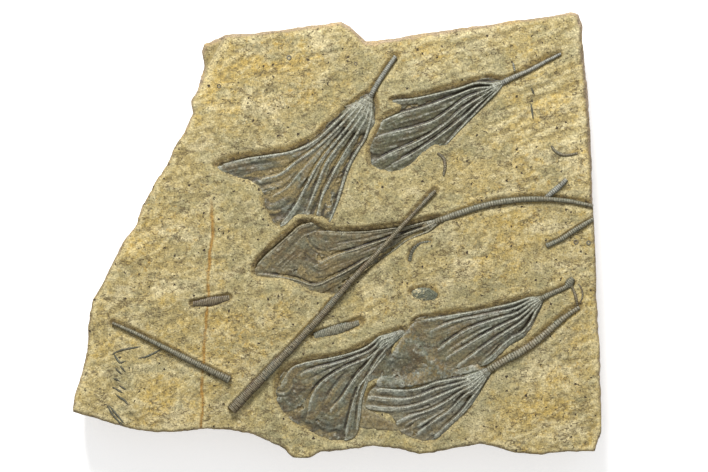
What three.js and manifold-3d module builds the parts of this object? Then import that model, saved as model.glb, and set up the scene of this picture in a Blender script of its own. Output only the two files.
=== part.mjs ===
// Crinoid fossil plate: a broken slab of limestone with six sea lilies on its face,
// and loose pieces of their stems.
// Millimetres, +Z up. The slab lies on its flat underside with the fossils on top.
// The origin is at the underside, below the middle of the slab's outline.

import * as THREE from 'three';
import Module from 'manifold-3d';
import { mergeVertices } from 'three/addons/utils/BufferGeometryUtils.js';

// ---------------------------------------------------------------- driving dimensions

const SLAB_THICKNESS = 30; // underside to the mean bedding plane
const CLEARANCE = 0.3; // gap between two neighbouring pieces
const SEAT_DEPTH = 3.4; // bedding plane down to the floor of a crown's seat
const PINNULE_THICKNESS = 1.4; // the mat of fine side branches under the arms
const ARM_HEIGHT = 2.1;
const CUP_HEIGHT = 3.4;
const OUTLINE_STEP = 14; // longest straight piece of the slab's edge
const EDGE_CHAMFER = 1.6; // how far the broken top edge lies inside the widest outline
const UNDERCUT = 4; // how far the underside's edge lies inside the widest outline
const TOP_RINGS = 4; // rings of facets from the slab's rim to its middle

// The slab's widest outline, anticlockwise from its lower left corner.
const SLAB_OUTLINE = [
  [-150, -100], [-140, -103], [-130, -105.5], [-119, -109], [-103, -111], [-88, -111], [-74, -109],
  [-60, -110], [-48, -112.5], [-38, -116.5], [-31, -120], [-26, -124.5], [-21, -126.8], [-15, -125.5],
  [-10, -122.5], [5, -120.8], [20, -119], [35, -121], [46, -123.4], [54, -122.6], [65, -120.6],
  [80, -117.8], [90, -119.6], [100, -122.6], [113, -124], [130, -122.4], [145, -122], [147, -116],
  [150, -108.5], [149, -95], [149, -70], [148, -48], [147, -22], [146, 0], [145, 22], [144, 48],
  [142.5, 75], [141, 92], [139.4, 106], [139, 118], [137, 125.4], [133, 126.8], [120, 124],
  [100, 121.5], [75, 118], [50, 114.4], [30, 111.2], [16, 110], [12, 113.6], [7, 118], [2, 121],
  [-10, 119.6], [-30, 117], [-50, 114.4], [-64, 113.6], [-70, 111], [-76, 108.4], [-77.4, 104],
  [-76, 96], [-78, 90], [-79.6, 82], [-83.4, 76], [-82, 69], [-87, 58.5], [-92.4, 50], [-97, 40],
  [-103, 31], [-107, 23], [-112, 15], [-115, 5], [-121, -2], [-127, -14], [-133, -27], [-139.6, -37],
  [-141.6, -50], [-142, -66], [-145.6, -80], [-149, -91],
];
const SLAB_MIDDLE = new THREE.Vector2(10, -6);

// Height of the bedding plane, with the low ledge at the upper left corner and the drop at the broken rim.
const LEDGE_DROP = 8;
const RIM_DROP = 0.9;

// Each crown lies down its stem, cup and arms in that order. Routes are [x, y] points in plan.
// rim is an arm's place across the cup's far edge, from 0 to 1; an arm without it forks off its neighbour.
const CRINOIDS = [
  {
    name: 'upper_left',
    sink: 0,
    armWidth: 1.9,
    stem: { route: [[32.5, 100.2], [28, 93.5], [23, 86], [19.6, 79.9]], widths: [2.6, 2.8, 3.1] },
    cup: { route: [[18.9, 78.6], [15.9, 73], [12.9, 67.4]], widths: [3.2, 9, 15] },
    arms: [
      { rim: 0.96, route: [[2.6, 66.2], [-3, 61.2], [-10, 54.6], [-17, 50.2], [-27, 46.4], [-40, 44.2],
        [-54, 42], [-64, 39.3]] },
      { rim: 0.79, route: [[3.8, 63.4], [-2.4, 57.9], [-10, 50], [-18, 44.7], [-25.1, 39.6], [-32, 34.2],
        [-42.5, 31.2]] },
      { rim: 0.61, route: [[4.6, 59], [-4, 48.8], [-10.4, 40.4], [-16, 30.6], [-20.5, 21.5], [-26, 12.6],
        [-31.4, 6]] },
      { rim: 0.43, route: [[7.6, 58.4], [-0.4, 48.5], [-7, 38.8], [-11.4, 27.8], [-15, 18.6],
        [-17.6, 12.8]] },
      { rim: 0.25, route: [[11.4, 57.4], [4.4, 46.6], [-1.6, 35.8], [-6.6, 26], [-10.2, 17.4],
        [-11.3, 11.4]] },
      { rim: 0.06, route: [[17, 57], [12.4, 49.4], [7.4, 40.8], [3.8, 31.6], [0.8, 20.8], [-4.3, 7.6]] },
    ],
    pinnules: [[17.2, 80.6], [11, 77.2], [3, 70.4], [-4, 65], [-11, 57.8], [-20, 51.8], [-32, 47.6],
      [-48, 45.6], [-62, 42.6], [-69.5, 38.4], [-62, 33.2], [-50, 29.4], [-44, 25], [-41, 13], [-33.4, 2.8],
      [-27, 7.2], [-20.5, 10.4], [-12, 9], [-7.6, 8.2], [-4.6, 5], [-0.6, 11], [3.4, 21], [6.6, 32],
      [10.2, 41], [15.6, 50.6], [20.6, 60.4], [23, 65.8], [22.4, 74], [20.6, 80]],
  },
  {
    name: 'upper_right',
    sink: 0,
    armWidth: 1.8,
    stem: { route: [[125.6, 101.9], [116.1, 97], [108.1, 92.7], [100.1, 89.2], [94.2, 86.3]],
      widths: [1.6, 2.6, 3.3] },
    cup: { route: [[93.4, 85.8], [91, 84.4], [88.8, 83]], widths: [3.4, 5.2, 6.6] },
    arms: [
      { rim: 0.92, route: [[84, 87.2], [77, 84.9], [67.4, 82], [57, 79.6], [45, 76.8], [31.5, 75.2]] },
      { rim: 0.6, route: [[84, 83.4], [76.2, 82], [65.8, 78], [54.7, 73.7], [44.3, 70.5], [34.7, 68],
        [26, 64]] },
      { route: [[82.6, 80.9], [73.8, 77.4], [65, 71.3], [57, 65.4], [48.3, 61.8], [35.5, 58.5],
        [23.4, 55.4]] },
      { route: [[80.6, 77.4], [73, 72.8], [65, 65.6], [56.3, 59], [45.1, 52.4], [33, 47.2], [22.4, 41.8]] },
      { route: [[79.8, 74], [72, 66.9], [61.4, 58.4], [52.3, 51.9], [41.9, 45.4], [31, 39.4]] },
      { rim: 0.12, route: [[86, 77], [79.2, 70], [71.4, 62], [65, 55], [61.2, 51]] },
    ],
    pinnules: [[94.6, 87.6], [89, 88.8], [83, 89.2], [70, 85], [56, 81.6], [42, 78.4], [29.4, 77.2],
      [30, 74], [34.4, 72.4], [33.6, 70.4],
      [28.4, 67.8], [24, 65], [23.4, 61.6], [21, 56.6], [18.4, 51], [16.8, 44],
      [19, 38.4], [26, 35], [35, 35.2], [42, 38.8], [48, 45], [56, 50], [61, 49], [66, 53.4], [74, 61.8],
      [83, 70.6], [90, 78.4], [94.6, 84.6]],
  },
  {
    name: 'middle',
    sink: 1.5,
    armWidth: 2.1,
    stem: { route: [[143.6, 16.4], [128, 19.4], [112, 20.2], [97, 19.2], [85, 17], [72, 13.2], [58.8, 8.5]],
      widths: [2.4, 4, 4.4] },
    cup: { route: [[57.8, 8.1], [54, 6.4], [50.6, 4.6]], widths: [4.4, 5.8, 7] },
    arms: [
      { rim: 0.9, route: [[44.5, 5.2], [36.5, 4.3], [27, 2.8], [15, 1.5], [3, 1.4], [-6, 1.8]] },
      { rim: 0.5, route: [[41, 1.2], [32.6, -1.2], [20, -5.2], [8.1, -9.3], [-1, -12], [-9.6, -16.1]] },
      { rim: 0.1, route: [[45, -0.6], [37.4, -4.4], [31.4, -9.2], [25, -13.4]] },
      { route: [[16.4, -14], [8, -19.2], [-3, -24.8], [-12, -28.6], [-19, -27.8], [-25, -25], [-35, -23.6],
        [-44.6, -22.3]] },
      { route: [[-14.8, 6.4], [-20.6, 4.8], [-28, -1.4], [-35.5, -8], [-41, -12.8], [-44.8, -17.2]] },
    ],
    pinnules: [[58, 10.8], [50, 9.6], [40, 7], [26, 5], [10, 3.8], [-5, 3.8], [-12, 7], [-17, 8.8],
      [-21.6, 7.8], [-31, -0.6], [-43, -11], [-47.6, -17.4], [-47.4, -24], [-38, -26], [-28, -26.6],
      [-19, -31.4], [-8, -35], [0, -34.8], [10, -26.6], [21, -18.6], [32, -11.6], [41, -4.8], [50, -1.4],
      [56, 1.8], [59.4, 5.6]],
  },
  {
    name: 'right',
    sink: 0,
    armWidth: 2.1,
    stem: { route: [[132, -28], [126.4, -30.8], [120.3, -33.4], [116.7, -35.3]], widths: [2.6, 2.8, 3.3] },
    cup: { route: [[115.9, -35.8], [113, -37.6], [110.2, -39.4]], widths: [3.5, 6.4, 9.6] },
    arms: [
      { rim: 0.95, route: [[102, -38.2], [90, -41], [78, -43.5], [65, -45.8], [49.5, -48.6]] },
      { rim: 0.77, route: [[103, -40.8], [90, -44.1], [78, -46.7], [65, -49.4], [52.8, -54.8]] },
      { rim: 0.59, route: [[103, -43.6], [92, -47.2], [80.5, -50.9], [70, -55.6], [57.2, -65]] },
      { rim: 0.41, route: [[103, -46.6], [91.6, -52.2], [80.6, -58.2], [70, -64.7], [61.8, -69.8]] },
      { rim: 0.23, route: [[104.6, -48.8], [94, -55.8], [82.6, -63.6], [73.4, -70.3], [68, -74]] },
      { rim: 0.05, route: [[110, -48], [105.4, -54.4], [97, -59.6], [90.4, -65.6], [86, -70.4],
        [82.4, -72.8]] },
    ],
    pinnules: [[118, -34.2], [110, -34.2], [98, -37], [84, -40.6], [68, -43.2], [52, -45.6], [43, -47.4],
      [41, -55], [44, -61.6], [51, -68], [58, -73.8], [65, -76.4], [76, -75.6], [84.4, -74.2], [89.6, -71],
      [95, -65.6], [105, -60], [110, -53.8], [115.6, -44], [118.2, -38]],
  },
  {
    name: 'lower_left',
    sink: 0,
    armWidth: 2.2,
    cup: { route: [[36.4, -55.4], [31.4, -58.2], [26.4, -61]], widths: [4.2, 6.4, 9] },
    arms: [
      { rim: 0.94, route: [[20, -61.8], [10, -66.2], [-2, -69.6], [-14, -71.7], [-24, -74.8], [-30, -79.2],
        [-31.4, -84]] },
      { rim: 0.74, route: [[20, -64.6], [10, -69.2], [-2, -73.3], [-12, -75.6], [-20.6, -79]] },
      { route: [[16.4, -70.2], [6.1, -74.4], [-3.7, -79.7], [-10.4, -85.2], [-14.2, -91], [-16.2, -98]] },
      { rim: 0.46, route: [[21, -67.8], [15.2, -75.4], [8.2, -83], [4.6, -90], [-3.6, -99]] },
      { route: [[13, -84.8], [9.4, -93.6], [7.2, -102], [4.8, -112.4]] },
      { rim: 0.1, route: [[25.4, -67.6], [21, -73], [17, -81.6], [13.6, -90.2], [12, -99.6], [11, -109.6]] },
    ],
    pinnules: [[38.4, -52.8], [30, -54.4], [21, -58.4], [8, -64.8], [-6, -68.4], [-20, -70.8], [-30, -76],
      [-34.6, -84], [-35, -94], [-29, -103.6], [-18, -110.6], [-6, -116.6], [6, -116.8], [12.4, -112],
      [14, -98], [16.8, -87], [19.4, -83], [32, -82.4], [43, -81.4], [53.4, -75.4], [46, -67.6],
      [36, -68.4], [31, -65.8], [39, -57.4]],
  },
  {
    name: 'lower_middle',
    sink: 0,
    armWidth: 2.3,
    stem: { route: [[136, -41.2], [126.4, -48], [115.7, -57.4], [105, -65.2], [94, -71.2], [88.2, -74.8]],
      widths: [2.6, 4.5, 4.3] },
    cup: { route: [[85.6, -76.7], [80.8, -80.6], [75.8, -84.6]], widths: [4.4, 8.2, 12] },
    arms: [
      { rim: 0.93, route: [[66, -81.8], [57, -83.4], [48.3, -86.6], [39, -88.3], [24, -87.4]] },
      { rim: 0.76, route: [[66, -84.8], [57, -87], [47, -91.2], [37, -93.2], [19, -91.6]] },
      { rim: 0.59, route: [[67.4, -87], [57.6, -91.4], [46, -96], [34.5, -98.3], [17.8, -97]] },
      { rim: 0.42, route: [[68.4, -89.6], [60, -95.6], [50, -100.2], [41, -102.8], [34, -106]] },
      { rim: 0.24, route: [[70.6, -92], [64.4, -98.8], [55.6, -105], [46, -112]] },
      { rim: 0.06, route: [[76, -92.4], [70.4, -100], [62.6, -107.4], [55.6, -113.8]] },
    ],
    pinnules: [[88, -76.2], [84.4, -74.2], [78, -76.4], [71.8, -78], [64, -79.6], [56, -80.6], [47, -84.6],
      [36, -85.8], [22, -85], [18, -88.4], [15.8, -93], [15.2, -98], [20, -100.4], [30, -102],
      [33, -109.6], [42, -115.6], [54, -117.2], [62, -111.4], [72, -101.6], [80.6, -92], [85.6, -84],
      [88.4, -79.6]],
  },
];

// Loose pieces of stem: lift raises a piece's axis above the bedding plane, at its start, middle and end.
const LOOSE_STEMS = [
  { name: 'long_loose_stem', widths: [2.4, 3.8, 5.4], lift: [0.9, 1.6, 0.6],
    route: [[55, 24.6], [38, 6.6], [21.9, -11], [6.6, -27], [-15, -52.4], [-37, -74.8], [-59.5, -98.6]] },
  { name: 'left_loose_stem', widths: [2.6, 3.6, 4.8], lift: [0.5, 0.6, 0.7],
    route: [[-126.5, -50], [-113, -56], [-98, -63.5], [-80, -72.5], [-61.5, -81.6]] },
  { name: 'edge_loose_stem', widths: [2.6, 3.2, 2.8], lift: [-0.4, -0.2, -0.2],
    route: [[118.5, -6], [126, -2.6], [134, 2.6], [143.8, 8.6]] },
  { name: 'curled_stem_tip', widths: [1.9, 1.8, 1.4], lift: [0, 0.1, 0],
    route: [[41, -14.4], [41.8, -10.6], [44.4, -6.6], [48, -4.6], [53, -4]] },
  { name: 'flattened_stem_left', widths: [3.4, 6.2, 3.4], lift: [-0.6, -0.4, -0.6], flatness: 0.5,
    route: [[-81, -39], [-71, -37.6], [-61.4, -35.6]] },
  { name: 'flattened_stem_right', widths: [4, 6.4, 3.6], lift: [-0.5, -0.3, -0.5], flatness: 0.5,
    route: [[-12.6, -57], [-1, -53.8], [11.8, -49.8]] },
];
const SHELL = { centre: [48.4, -33.8], radii: [8, 4.2], thickness: 1.4, turn: -0.12, sink: 0.9 };

const COLOURS = { stone: 0xc4ac74, crown: 0x6f6a58, stem: 0x7b7263, shell: 0x6a6b56 };

// ---------------------------------------------------------------- surfaces and outlines

const seatFloor = (sink) => SLAB_THICKNESS - SEAT_DEPTH - sink;
const pinnuleTop = (sink) => seatFloor(sink) + CLEARANCE + PINNULE_THICKNESS;
const armBase = (sink) => pinnuleTop(sink) + CLEARANCE;

// Height of the slab's face at a point in plan.
function beddingHeight(x, y) {
  const swell = 0.5 * Math.sin(x / 41 + 0.7) * Math.cos(y / 33) + 0.25 * Math.sin((x + 2 * y) / 27);
  const behindLedge = THREE.MathUtils.smoothstep(0.894 * (-74 - x) + 0.447 * (y - 92), -1.5, 1.5);
  return SLAB_THICKNESS + swell - LEDGE_DROP * behindLedge;
}

// The outline with points put in, so that no edge is longer than OUTLINE_STEP.
function densified(outline) {
  return outline.flatMap(([x, y], i) => {
    const [nextX, nextY] = outline[(i + 1) % outline.length];
    const pieces = Math.ceil(Math.hypot(nextX - x, nextY - y) / OUTLINE_STEP);
    return Array.from({ length: pieces }, (_, k) => new THREE.Vector2(
      x + ((nextX - x) * k) / pieces,
      y + ((nextY - y) * k) / pieces,
    ));
  });
}

// A smooth closed outline through the points, grown outwards by grow.
function smoothOutline(points, grow) {
  const spline = new THREE.CatmullRomCurve3(
    points.map(([x, y]) => new THREE.Vector3(x, y, 0)), true, 'centripetal');
  const turn = Math.sign(THREE.ShapeUtils.area(spline.getPoints(points.length)));
  return spline.getPoints(Math.round(points.length * 1.25)).slice(0, -1).map((point, i, all) => {
    const along = spline.getTangent(i / all.length);
    return new THREE.Vector2(point.x + along.y * grow * turn, point.y - along.x * grow * turn);
  });
}

// Value at share t of a list of values at equal spacing.
function along(values, t) {
  const place = t * (values.length - 1);
  const i = Math.min(Math.floor(place), values.length - 2);
  return THREE.MathUtils.lerp(values[i], values[i + 1], place - i);
}

// ---------------------------------------------------------------- bodies

// A closed mesh through rings of points, each ring the same length, with a middle point at both ends.
function ringBody(rings) {
  const size = rings[0].length;
  const centre = (ring) => ring.reduce((sum, p) => sum.add(p), new THREE.Vector3()).divideScalar(size);
  const points = [...rings.flat(), centre(rings[0]), centre(rings[rings.length - 1])];
  const faces = [];
  for (let r = 0; r + 1 < rings.length; r += 1) {
    for (let i = 0; i < size; i += 1) {
      const a = r * size + i;
      const b = r * size + ((i + 1) % size);
      faces.push(a, b, b + size, a, b + size, a + size);
    }
  }
  const last = (rings.length - 1) * size;
  for (let i = 0; i < size; i += 1) {
    const next = (i + 1) % size;
    faces.push(points.length - 2, next, i, points.length - 1, last + i, last + next);
  }
  const geometry = new THREE.BufferGeometry().setFromPoints(points);
  geometry.setIndex(faces);
  return geometry;
}

// A body that follows a route. section(t) lists its outline across the route as [left, up] pairs.
function sweptBody(route, stations, section) {
  const curve = new THREE.CatmullRomCurve3(route, false, 'centripetal');
  const rings = Array.from({ length: stations }, (_, k) => {
    const t = k / (stations - 1);
    const at = curve.getPointAt(t);
    const ahead = curve.getTangentAt(t);
    const side = new THREE.Vector3(-ahead.y, ahead.x, 0).normalize();
    return section(t).map(([across, up]) => at.clone()
      .addScaledVector(side, across).add(new THREE.Vector3(0, 0, up)));
  });
  return ringBody(rings);
}

// Outline of an arm or a cup: flat below, keeled above.
const keeled = (width, height) => [
  [-0.5 * width, 0],
  [0.5 * width, 0],
  [0.42 * width, 0.6 * height],
  [0, height],
  [-0.42 * width, 0.6 * height],
];

// Eight-sided outline of a stem.
const rounded = (width, height) => Array.from({ length: 8 }, (_, i) => {
  const angle = ((i + 0.5) * Math.PI) / 4;
  return [0.5 * width * Math.cos(angle), 0.5 * height * Math.sin(angle)];
});

// The slab before any seat is cut: rings up the broken edge, then inwards over the face.
function slabBlank() {
  const outline = densified(SLAB_OUTLINE);
  const inset = (point, distance) => {
    const inward = SLAB_MIDDLE.clone().sub(point).normalize();
    return point.clone().addScaledVector(inward, distance);
  };
  const edgeRing = (share, distance, roughness) => outline.map((point, i) => {
    const chip = roughness * Math.sin(i * 1.7 + share * 5) * Math.cos(i * 0.6 - share * 9);
    const { x, y } = inset(point, distance + Math.abs(chip));
    return new THREE.Vector3(x, y, share * (beddingHeight(x, y) - RIM_DROP));
  });
  const rings = [
    edgeRing(0, UNDERCUT, 1.5),
    edgeRing(0.16, 1.2, 1.2),
    edgeRing(0.5, 0, 0.8),
    edgeRing(0.8, 0.5, 0.8),
    edgeRing(1, EDGE_CHAMFER, 0.3),
  ];
  for (let k = 0; k < TOP_RINGS; k += 1) {
    const keep = 0.965 * (1 - k / TOP_RINGS);
    rings.push(outline.map((point) => {
      const { x, y } = SLAB_MIDDLE.clone().lerp(point, keep);
      return new THREE.Vector3(x, y, beddingHeight(x, y));
    }));
  }
  return ringBody(rings);
}

// A level plate of the given outline between two heights.
function plate(outline, low, high) {
  const options = { depth: high - low, bevelEnabled: false };
  const geometry = new THREE.ExtrudeGeometry(new THREE.Shape(outline), options);
  return geometry.translate(0, 0, low);
}

function shellOutline(grow) {
  const ellipse = new THREE.EllipseCurve(...SHELL.centre, SHELL.radii[0] + grow, SHELL.radii[1] + grow,
    0, 2 * Math.PI, false, SHELL.turn);
  return ellipse.getPoints(20).slice(0, -1);
}

// ---------------------------------------------------------------- crinoids and loose pieces

const STEM_STATIONS = 8;
const ARM_STATIONS = 7;
const CUP_STATIONS = 5;
const ARM_TAPER = [0.62, 1, 1, 0.9, 0.6]; // an arm's width along it, as shares of its widest
const SEAT_HEADROOM = 12; // how far a seat's cutter reaches above the face

const bodies = []; // { name, colour, geometry }
const seats = []; // geometries to cut from the slab

const laid = (route, height) => route.map(([x, y]) => new THREE.Vector3(x, y, height));

function addBody(name, colour, geometry) {
  bodies.push({ name, colour, geometry });
}

// A stem lying in its groove. lift is its axis above the bedding plane, flatness its height over its width.
function addStem(name, { route, widths, lift = [0, 0, 0], flatness = 1 }) {
  const stations = STEM_STATIONS;
  const axis = new THREE.CatmullRomCurve3(laid(route, 0), false, 'centripetal');
  const raised = axis.getSpacedPoints(stations - 1)
    .map((point, k) => point.setZ(SLAB_THICKNESS + along(lift, k / (stations - 1))));
  const section = (t) => rounded(along(widths, t), along(widths, t) * flatness);
  addBody(name, COLOURS.stem, sweptBody(raised, stations, section));

  const ends = [raised[0], raised[stations - 1]];
  const beyond = [raised[1], raised[stations - 2]].map((inner, i) => ends[i].clone()
    .addScaledVector(ends[i].clone().sub(inner).normalize(), 2 * CLEARANCE));
  seats.push(sweptBody([beyond[0], ...raised, beyond[1]], stations, (t) => {
    const half = along(widths, t) / 2 + 2 * CLEARANCE;
    const deep = -(along(widths, t) * flatness) / 2 - CLEARANCE;
    return [[-0.55 * half, deep], [0.55 * half, deep], [half, 0.4 * deep], [half, SEAT_HEADROOM],
      [-half, SEAT_HEADROOM], [-half, 0.4 * deep]];
  }));
}

// Start of an arm, at its share across the cup's far edge.
function rimPoint(cup, share) {
  const [before, end] = cup.route.slice(-2).map(([x, y]) => new THREE.Vector2(x, y));
  const ahead = end.clone().sub(before).normalize();
  const across = new THREE.Vector2(ahead.y, -ahead.x).multiplyScalar((share - 0.5) * cup.widths.at(-1));
  return end.add(across).addScaledVector(ahead, 2 * CLEARANCE).toArray();
}

function addCrinoid({ name, sink, armWidth, stem, cup, arms, pinnules }) {
  const base = armBase(sink);

  if (stem) addStem(`${name}_stem`, stem);
  const cupSection = (t) => keeled(along(cup.widths, t), CUP_HEIGHT);
  addBody(`${name}_cup`, COLOURS.crown, sweptBody(laid(cup.route, base), CUP_STATIONS, cupSection));

  const armSection = (t) => keeled(armWidth * along(ARM_TAPER, t), ARM_HEIGHT * (1 - 0.35 * t));
  arms.forEach(({ rim, route }, i) => {
    const start = rim === undefined ? [] : [rimPoint(cup, rim)];
    const centreline = laid([...start, ...route], base);
    addBody(`${name}_arm_${i + 1}`, COLOURS.crown, sweptBody(centreline, ARM_STATIONS, armSection));
  });

  addBody(`${name}_pinnules`, COLOURS.crown,
    plate(smoothOutline(pinnules, 0), seatFloor(sink) + CLEARANCE, pinnuleTop(sink)));
  seats.push(plate(smoothOutline(pinnules, CLEARANCE), seatFloor(sink), SLAB_THICKNESS + SEAT_HEADROOM));
}

CRINOIDS.forEach(addCrinoid);
LOOSE_STEMS.forEach(({ name, ...stem }) => addStem(name, stem));

const shellBase = SLAB_THICKNESS - SHELL.sink;
addBody('shell_fragment', COLOURS.shell, plate(shellOutline(0), shellBase, shellBase + SHELL.thickness));
seats.push(plate(shellOutline(CLEARANCE), shellBase - CLEARANCE, SLAB_THICKNESS + SEAT_HEADROOM));

// ---------------------------------------------------------------- the slab with its seats cut

const wasm = await Module();
wasm.setup();

function toSolid(geometry) {
  const bare = geometry.clone();
  bare.deleteAttribute('normal');
  bare.deleteAttribute('uv');
  const merged = mergeVertices(bare, 1e-4);
  return new wasm.Manifold(new wasm.Mesh({
    numProp: 3,
    vertProperties: merged.attributes.position.array,
    triVerts: new Uint32Array(merged.index.array),
  }));
}

function fromSolid(solid) {
  const { vertProperties, triVerts } = solid.getMesh();
  const geometry = new THREE.BufferGeometry();
  geometry.setAttribute('position', new THREE.BufferAttribute(vertProperties, 3));
  return geometry.setIndex(new THREE.BufferAttribute(triVerts, 1));
}

const slab = seats.reduce((rest, seat) => rest.subtract(toSolid(seat)), toSolid(slabBlank()));
addBody('slab', COLOURS.stone, fromSolid(slab));

// ---------------------------------------------------------------- the scene graph

const plateGroup = new THREE.Group();
plateGroup.name = 'crinoid_plate';
for (const { name, colour, geometry } of bodies) {
  geometry.computeVertexNormals();
  const material = new THREE.MeshStandardMaterial({ color: colour, roughness: 0.85, metalness: 0 });
  const mesh = new THREE.Mesh(geometry, material);
  mesh.name = name;
  plateGroup.add(mesh);
}

// The origin goes below the middle of the outline, at the underside.
const extent = new THREE.Box3().setFromObject(plateGroup);
const middle = extent.getCenter(new THREE.Vector3());
plateGroup.position.set(-middle.x, -middle.y, -extent.min.z);

export default plateGroup;
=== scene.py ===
"""Crinoid fossil slab: six sea lilies in relief on a broken slab of limestone.

Lengths are in millimetres until a mesh is made, and metres from there on. The slab lies flat with the
fossils up, +Z up and the origin at the middle of its underside.
"""

import logging
import math
from dataclasses import dataclass, field
from enum import Enum
from typing import Callable, Sequence

import bmesh
import bpy
import numpy as np
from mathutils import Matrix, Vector
from mathutils.bvhtree import BVHTree


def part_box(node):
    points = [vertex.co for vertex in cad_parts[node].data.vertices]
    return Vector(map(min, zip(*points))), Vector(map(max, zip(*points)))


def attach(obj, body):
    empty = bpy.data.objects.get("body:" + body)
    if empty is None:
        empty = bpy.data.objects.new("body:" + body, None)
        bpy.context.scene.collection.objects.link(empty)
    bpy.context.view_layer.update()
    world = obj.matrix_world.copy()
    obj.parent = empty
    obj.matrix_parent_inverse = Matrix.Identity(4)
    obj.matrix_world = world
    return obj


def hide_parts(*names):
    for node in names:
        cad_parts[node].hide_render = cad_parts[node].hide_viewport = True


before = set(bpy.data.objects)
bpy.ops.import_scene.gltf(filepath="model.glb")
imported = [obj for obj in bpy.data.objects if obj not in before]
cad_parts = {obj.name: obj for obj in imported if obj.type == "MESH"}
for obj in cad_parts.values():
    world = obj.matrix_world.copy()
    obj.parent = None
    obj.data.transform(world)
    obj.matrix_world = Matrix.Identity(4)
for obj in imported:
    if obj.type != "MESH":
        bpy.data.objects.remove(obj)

LOG = logging.getLogger("crinoid_slab")
MM = 0.001
FACE_LEVEL = 30.0  # height of the mean bedding plane above the underside
Socket = bpy.types.NodeSocket
NodeTree = bpy.types.NodeTree
Material = bpy.types.Material
Piece = bpy.types.Object
Array = np.ndarray
PlanRule = Callable[[Array], Array]
Faces = list[Sequence[int]]
Groups = dict[str, NodeTree]
Value = float | Socket
Colour = tuple[float, float, float, float]


class Mark(Enum):
    """Float attributes on the pieces' points, read by the finishes."""

    HALO = "halo"  # cleaned ground round a fossil, with painted shade stronger on its north side
    DULL = "dull"  # greyer ground between the fossils
    STAIN = "stain"  # dark seam against a fossil, mostly painted shade on its north side
    SIDE = "side"  # broken edge of the slab
    CRACK = "crack"  # healed ochre crack
    STREAK = "streak"  # ochre iron stain
    RAKED = "raked"  # pale tool strokes
    CREST = "crest"  # painted highlight on the top of a ridge
    DEEP = "deep"  # painted shade at the bottom of a groove, and dark seams
    BARE = "bare"  # matrix that shows between the arms


class Shade(Enum):
    """How dark a crown's mat is."""

    DARK = "dark"
    PLAIN = "plain"
    BROWN = "brown"
    PALE = "pale"


class Tint(Enum):
    """Colours of the stems."""

    DARK = "dark"
    BROWN = "brown"
    DULL = "dull"
    GREY = "grey"
    PALE = "pale"


# ---- numbers and noise


def smooth_step(value: Array, low: float, high: float) -> Array:
    """Smooth rise from 0 at low to 1 at high.

    Args:
        value: Numbers to map.
        low: Where the rise starts.
        high: Where it ends; lower than low makes a fall.

    Returns:
        The mapped numbers.
    """
    t = np.clip((value - low) / (high - low), 0.0, 1.0)
    return t * t * (3.0 - 2.0 * t)


@dataclass(frozen=True)
class Grain:
    """Smooth noise over the plane, of several octaves, between about -1 and 1.

    Args:
        seed: Picks the pattern.
        length: Longest wavelength, mm.
        octaves: How many octaves are added up.
        gain: Strength of each octave over the one before it.
        stretch: How much longer the pattern is along its heading.
        heading: Direction of the stretch, degrees from +X.
    """

    seed: int
    length: float
    octaves: int = 4
    gain: float = 0.5
    stretch: float = 1.0
    heading: float = 0.0

    @staticmethod
    def _lattice(i: Array, j: Array, seed: int) -> Array:
        """Random number from -1 to 1 at each whole-number point."""
        h = (i * 374761393 + j * 668265263 + seed * 974634777) & 0xFFFFFFFF
        h = ((h ^ (h >> 13)) * 1274126177) & 0xFFFFFFFF
        h = ((h ^ (h >> 16)) * 2246822519) & 0xFFFFFFFF
        return ((h ^ (h >> 15)) & 0xFFFF) / 32767.5 - 1.0

    def at(self, plan: Array) -> Array:
        """Noise at points in plan.

        Args:
            plan: (n, 2) array of x and y.

        Returns:
            n numbers.
        """
        turn = math.radians(self.heading)
        x = (plan[:, 0] * math.cos(turn) + plan[:, 1] * math.sin(turn)) / self.stretch
        y = plan[:, 1] * math.cos(turn) - plan[:, 0] * math.sin(turn)
        total, weight, length = np.zeros(len(plan)), 1.0, self.length
        for octave in range(self.octaves):
            u, v = x / length + 17.3 * octave, y / length - 9.1 * octave
            i, j = np.floor(u).astype(np.int64), np.floor(v).astype(np.int64)
            s, t = u - i, v - j
            s, t = s**3 * (s * (6 * s - 15) + 10), t**3 * (t * (6 * t - 15) + 10)
            seed = self.seed + 31 * octave
            low = self._lattice(i, j, seed) * (1 - s) + self._lattice(i + 1, j, seed) * s
            high = self._lattice(i, j + 1, seed) * (1 - s) + self._lattice(i + 1, j + 1, seed) * s
            total += weight * (low * (1 - t) + high * t)
            weight *= self.gain
            length /= 2.03
        return total


# ---- lines in plan


@dataclass
class Trace:
    """Where points lie relative to a line: how far off, how far along and on which side."""

    off: Array  # distance, mm
    along: Array  # share of the line's length, 0 to 1
    left: Array  # True on the left of the line's heading
    north: Array  # share of the distance that is towards +Y, -1 to 1


def trace(plan: Array, line: Array) -> Trace:
    """Measures points against a line.

    Args:
        plan: (n, 2) points.
        line: (m, 2) points of the line.

    Returns:
        One entry for each point.
    """
    steps = np.diff(line, axis=0)
    lengths = np.maximum(np.hypot(*steps.T), 1e-9)
    run = np.concatenate([[0.0], np.cumsum(lengths)])
    best = np.full(len(plan), np.inf)
    along, north = np.zeros(len(plan)), np.zeros(len(plan))
    left = np.zeros(len(plan), bool)
    for start, step, length, before in zip(line, steps, lengths, run):
        rel = plan - start
        share = np.clip((rel @ step) / length**2, 0.0, 1.0)
        gap = rel - share[:, None] * step
        off = np.hypot(*gap.T)
        near = off < best
        best = np.where(near, off, best)
        along = np.where(near, (before + share * length) / run[-1], along)
        left = np.where(near, step[0] * rel[:, 1] - step[1] * rel[:, 0] > 0, left)
        north = np.where(near, gap[:, 1] / np.maximum(off, 1e-6), north)
    return Trace(best, along, left, north)


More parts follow.
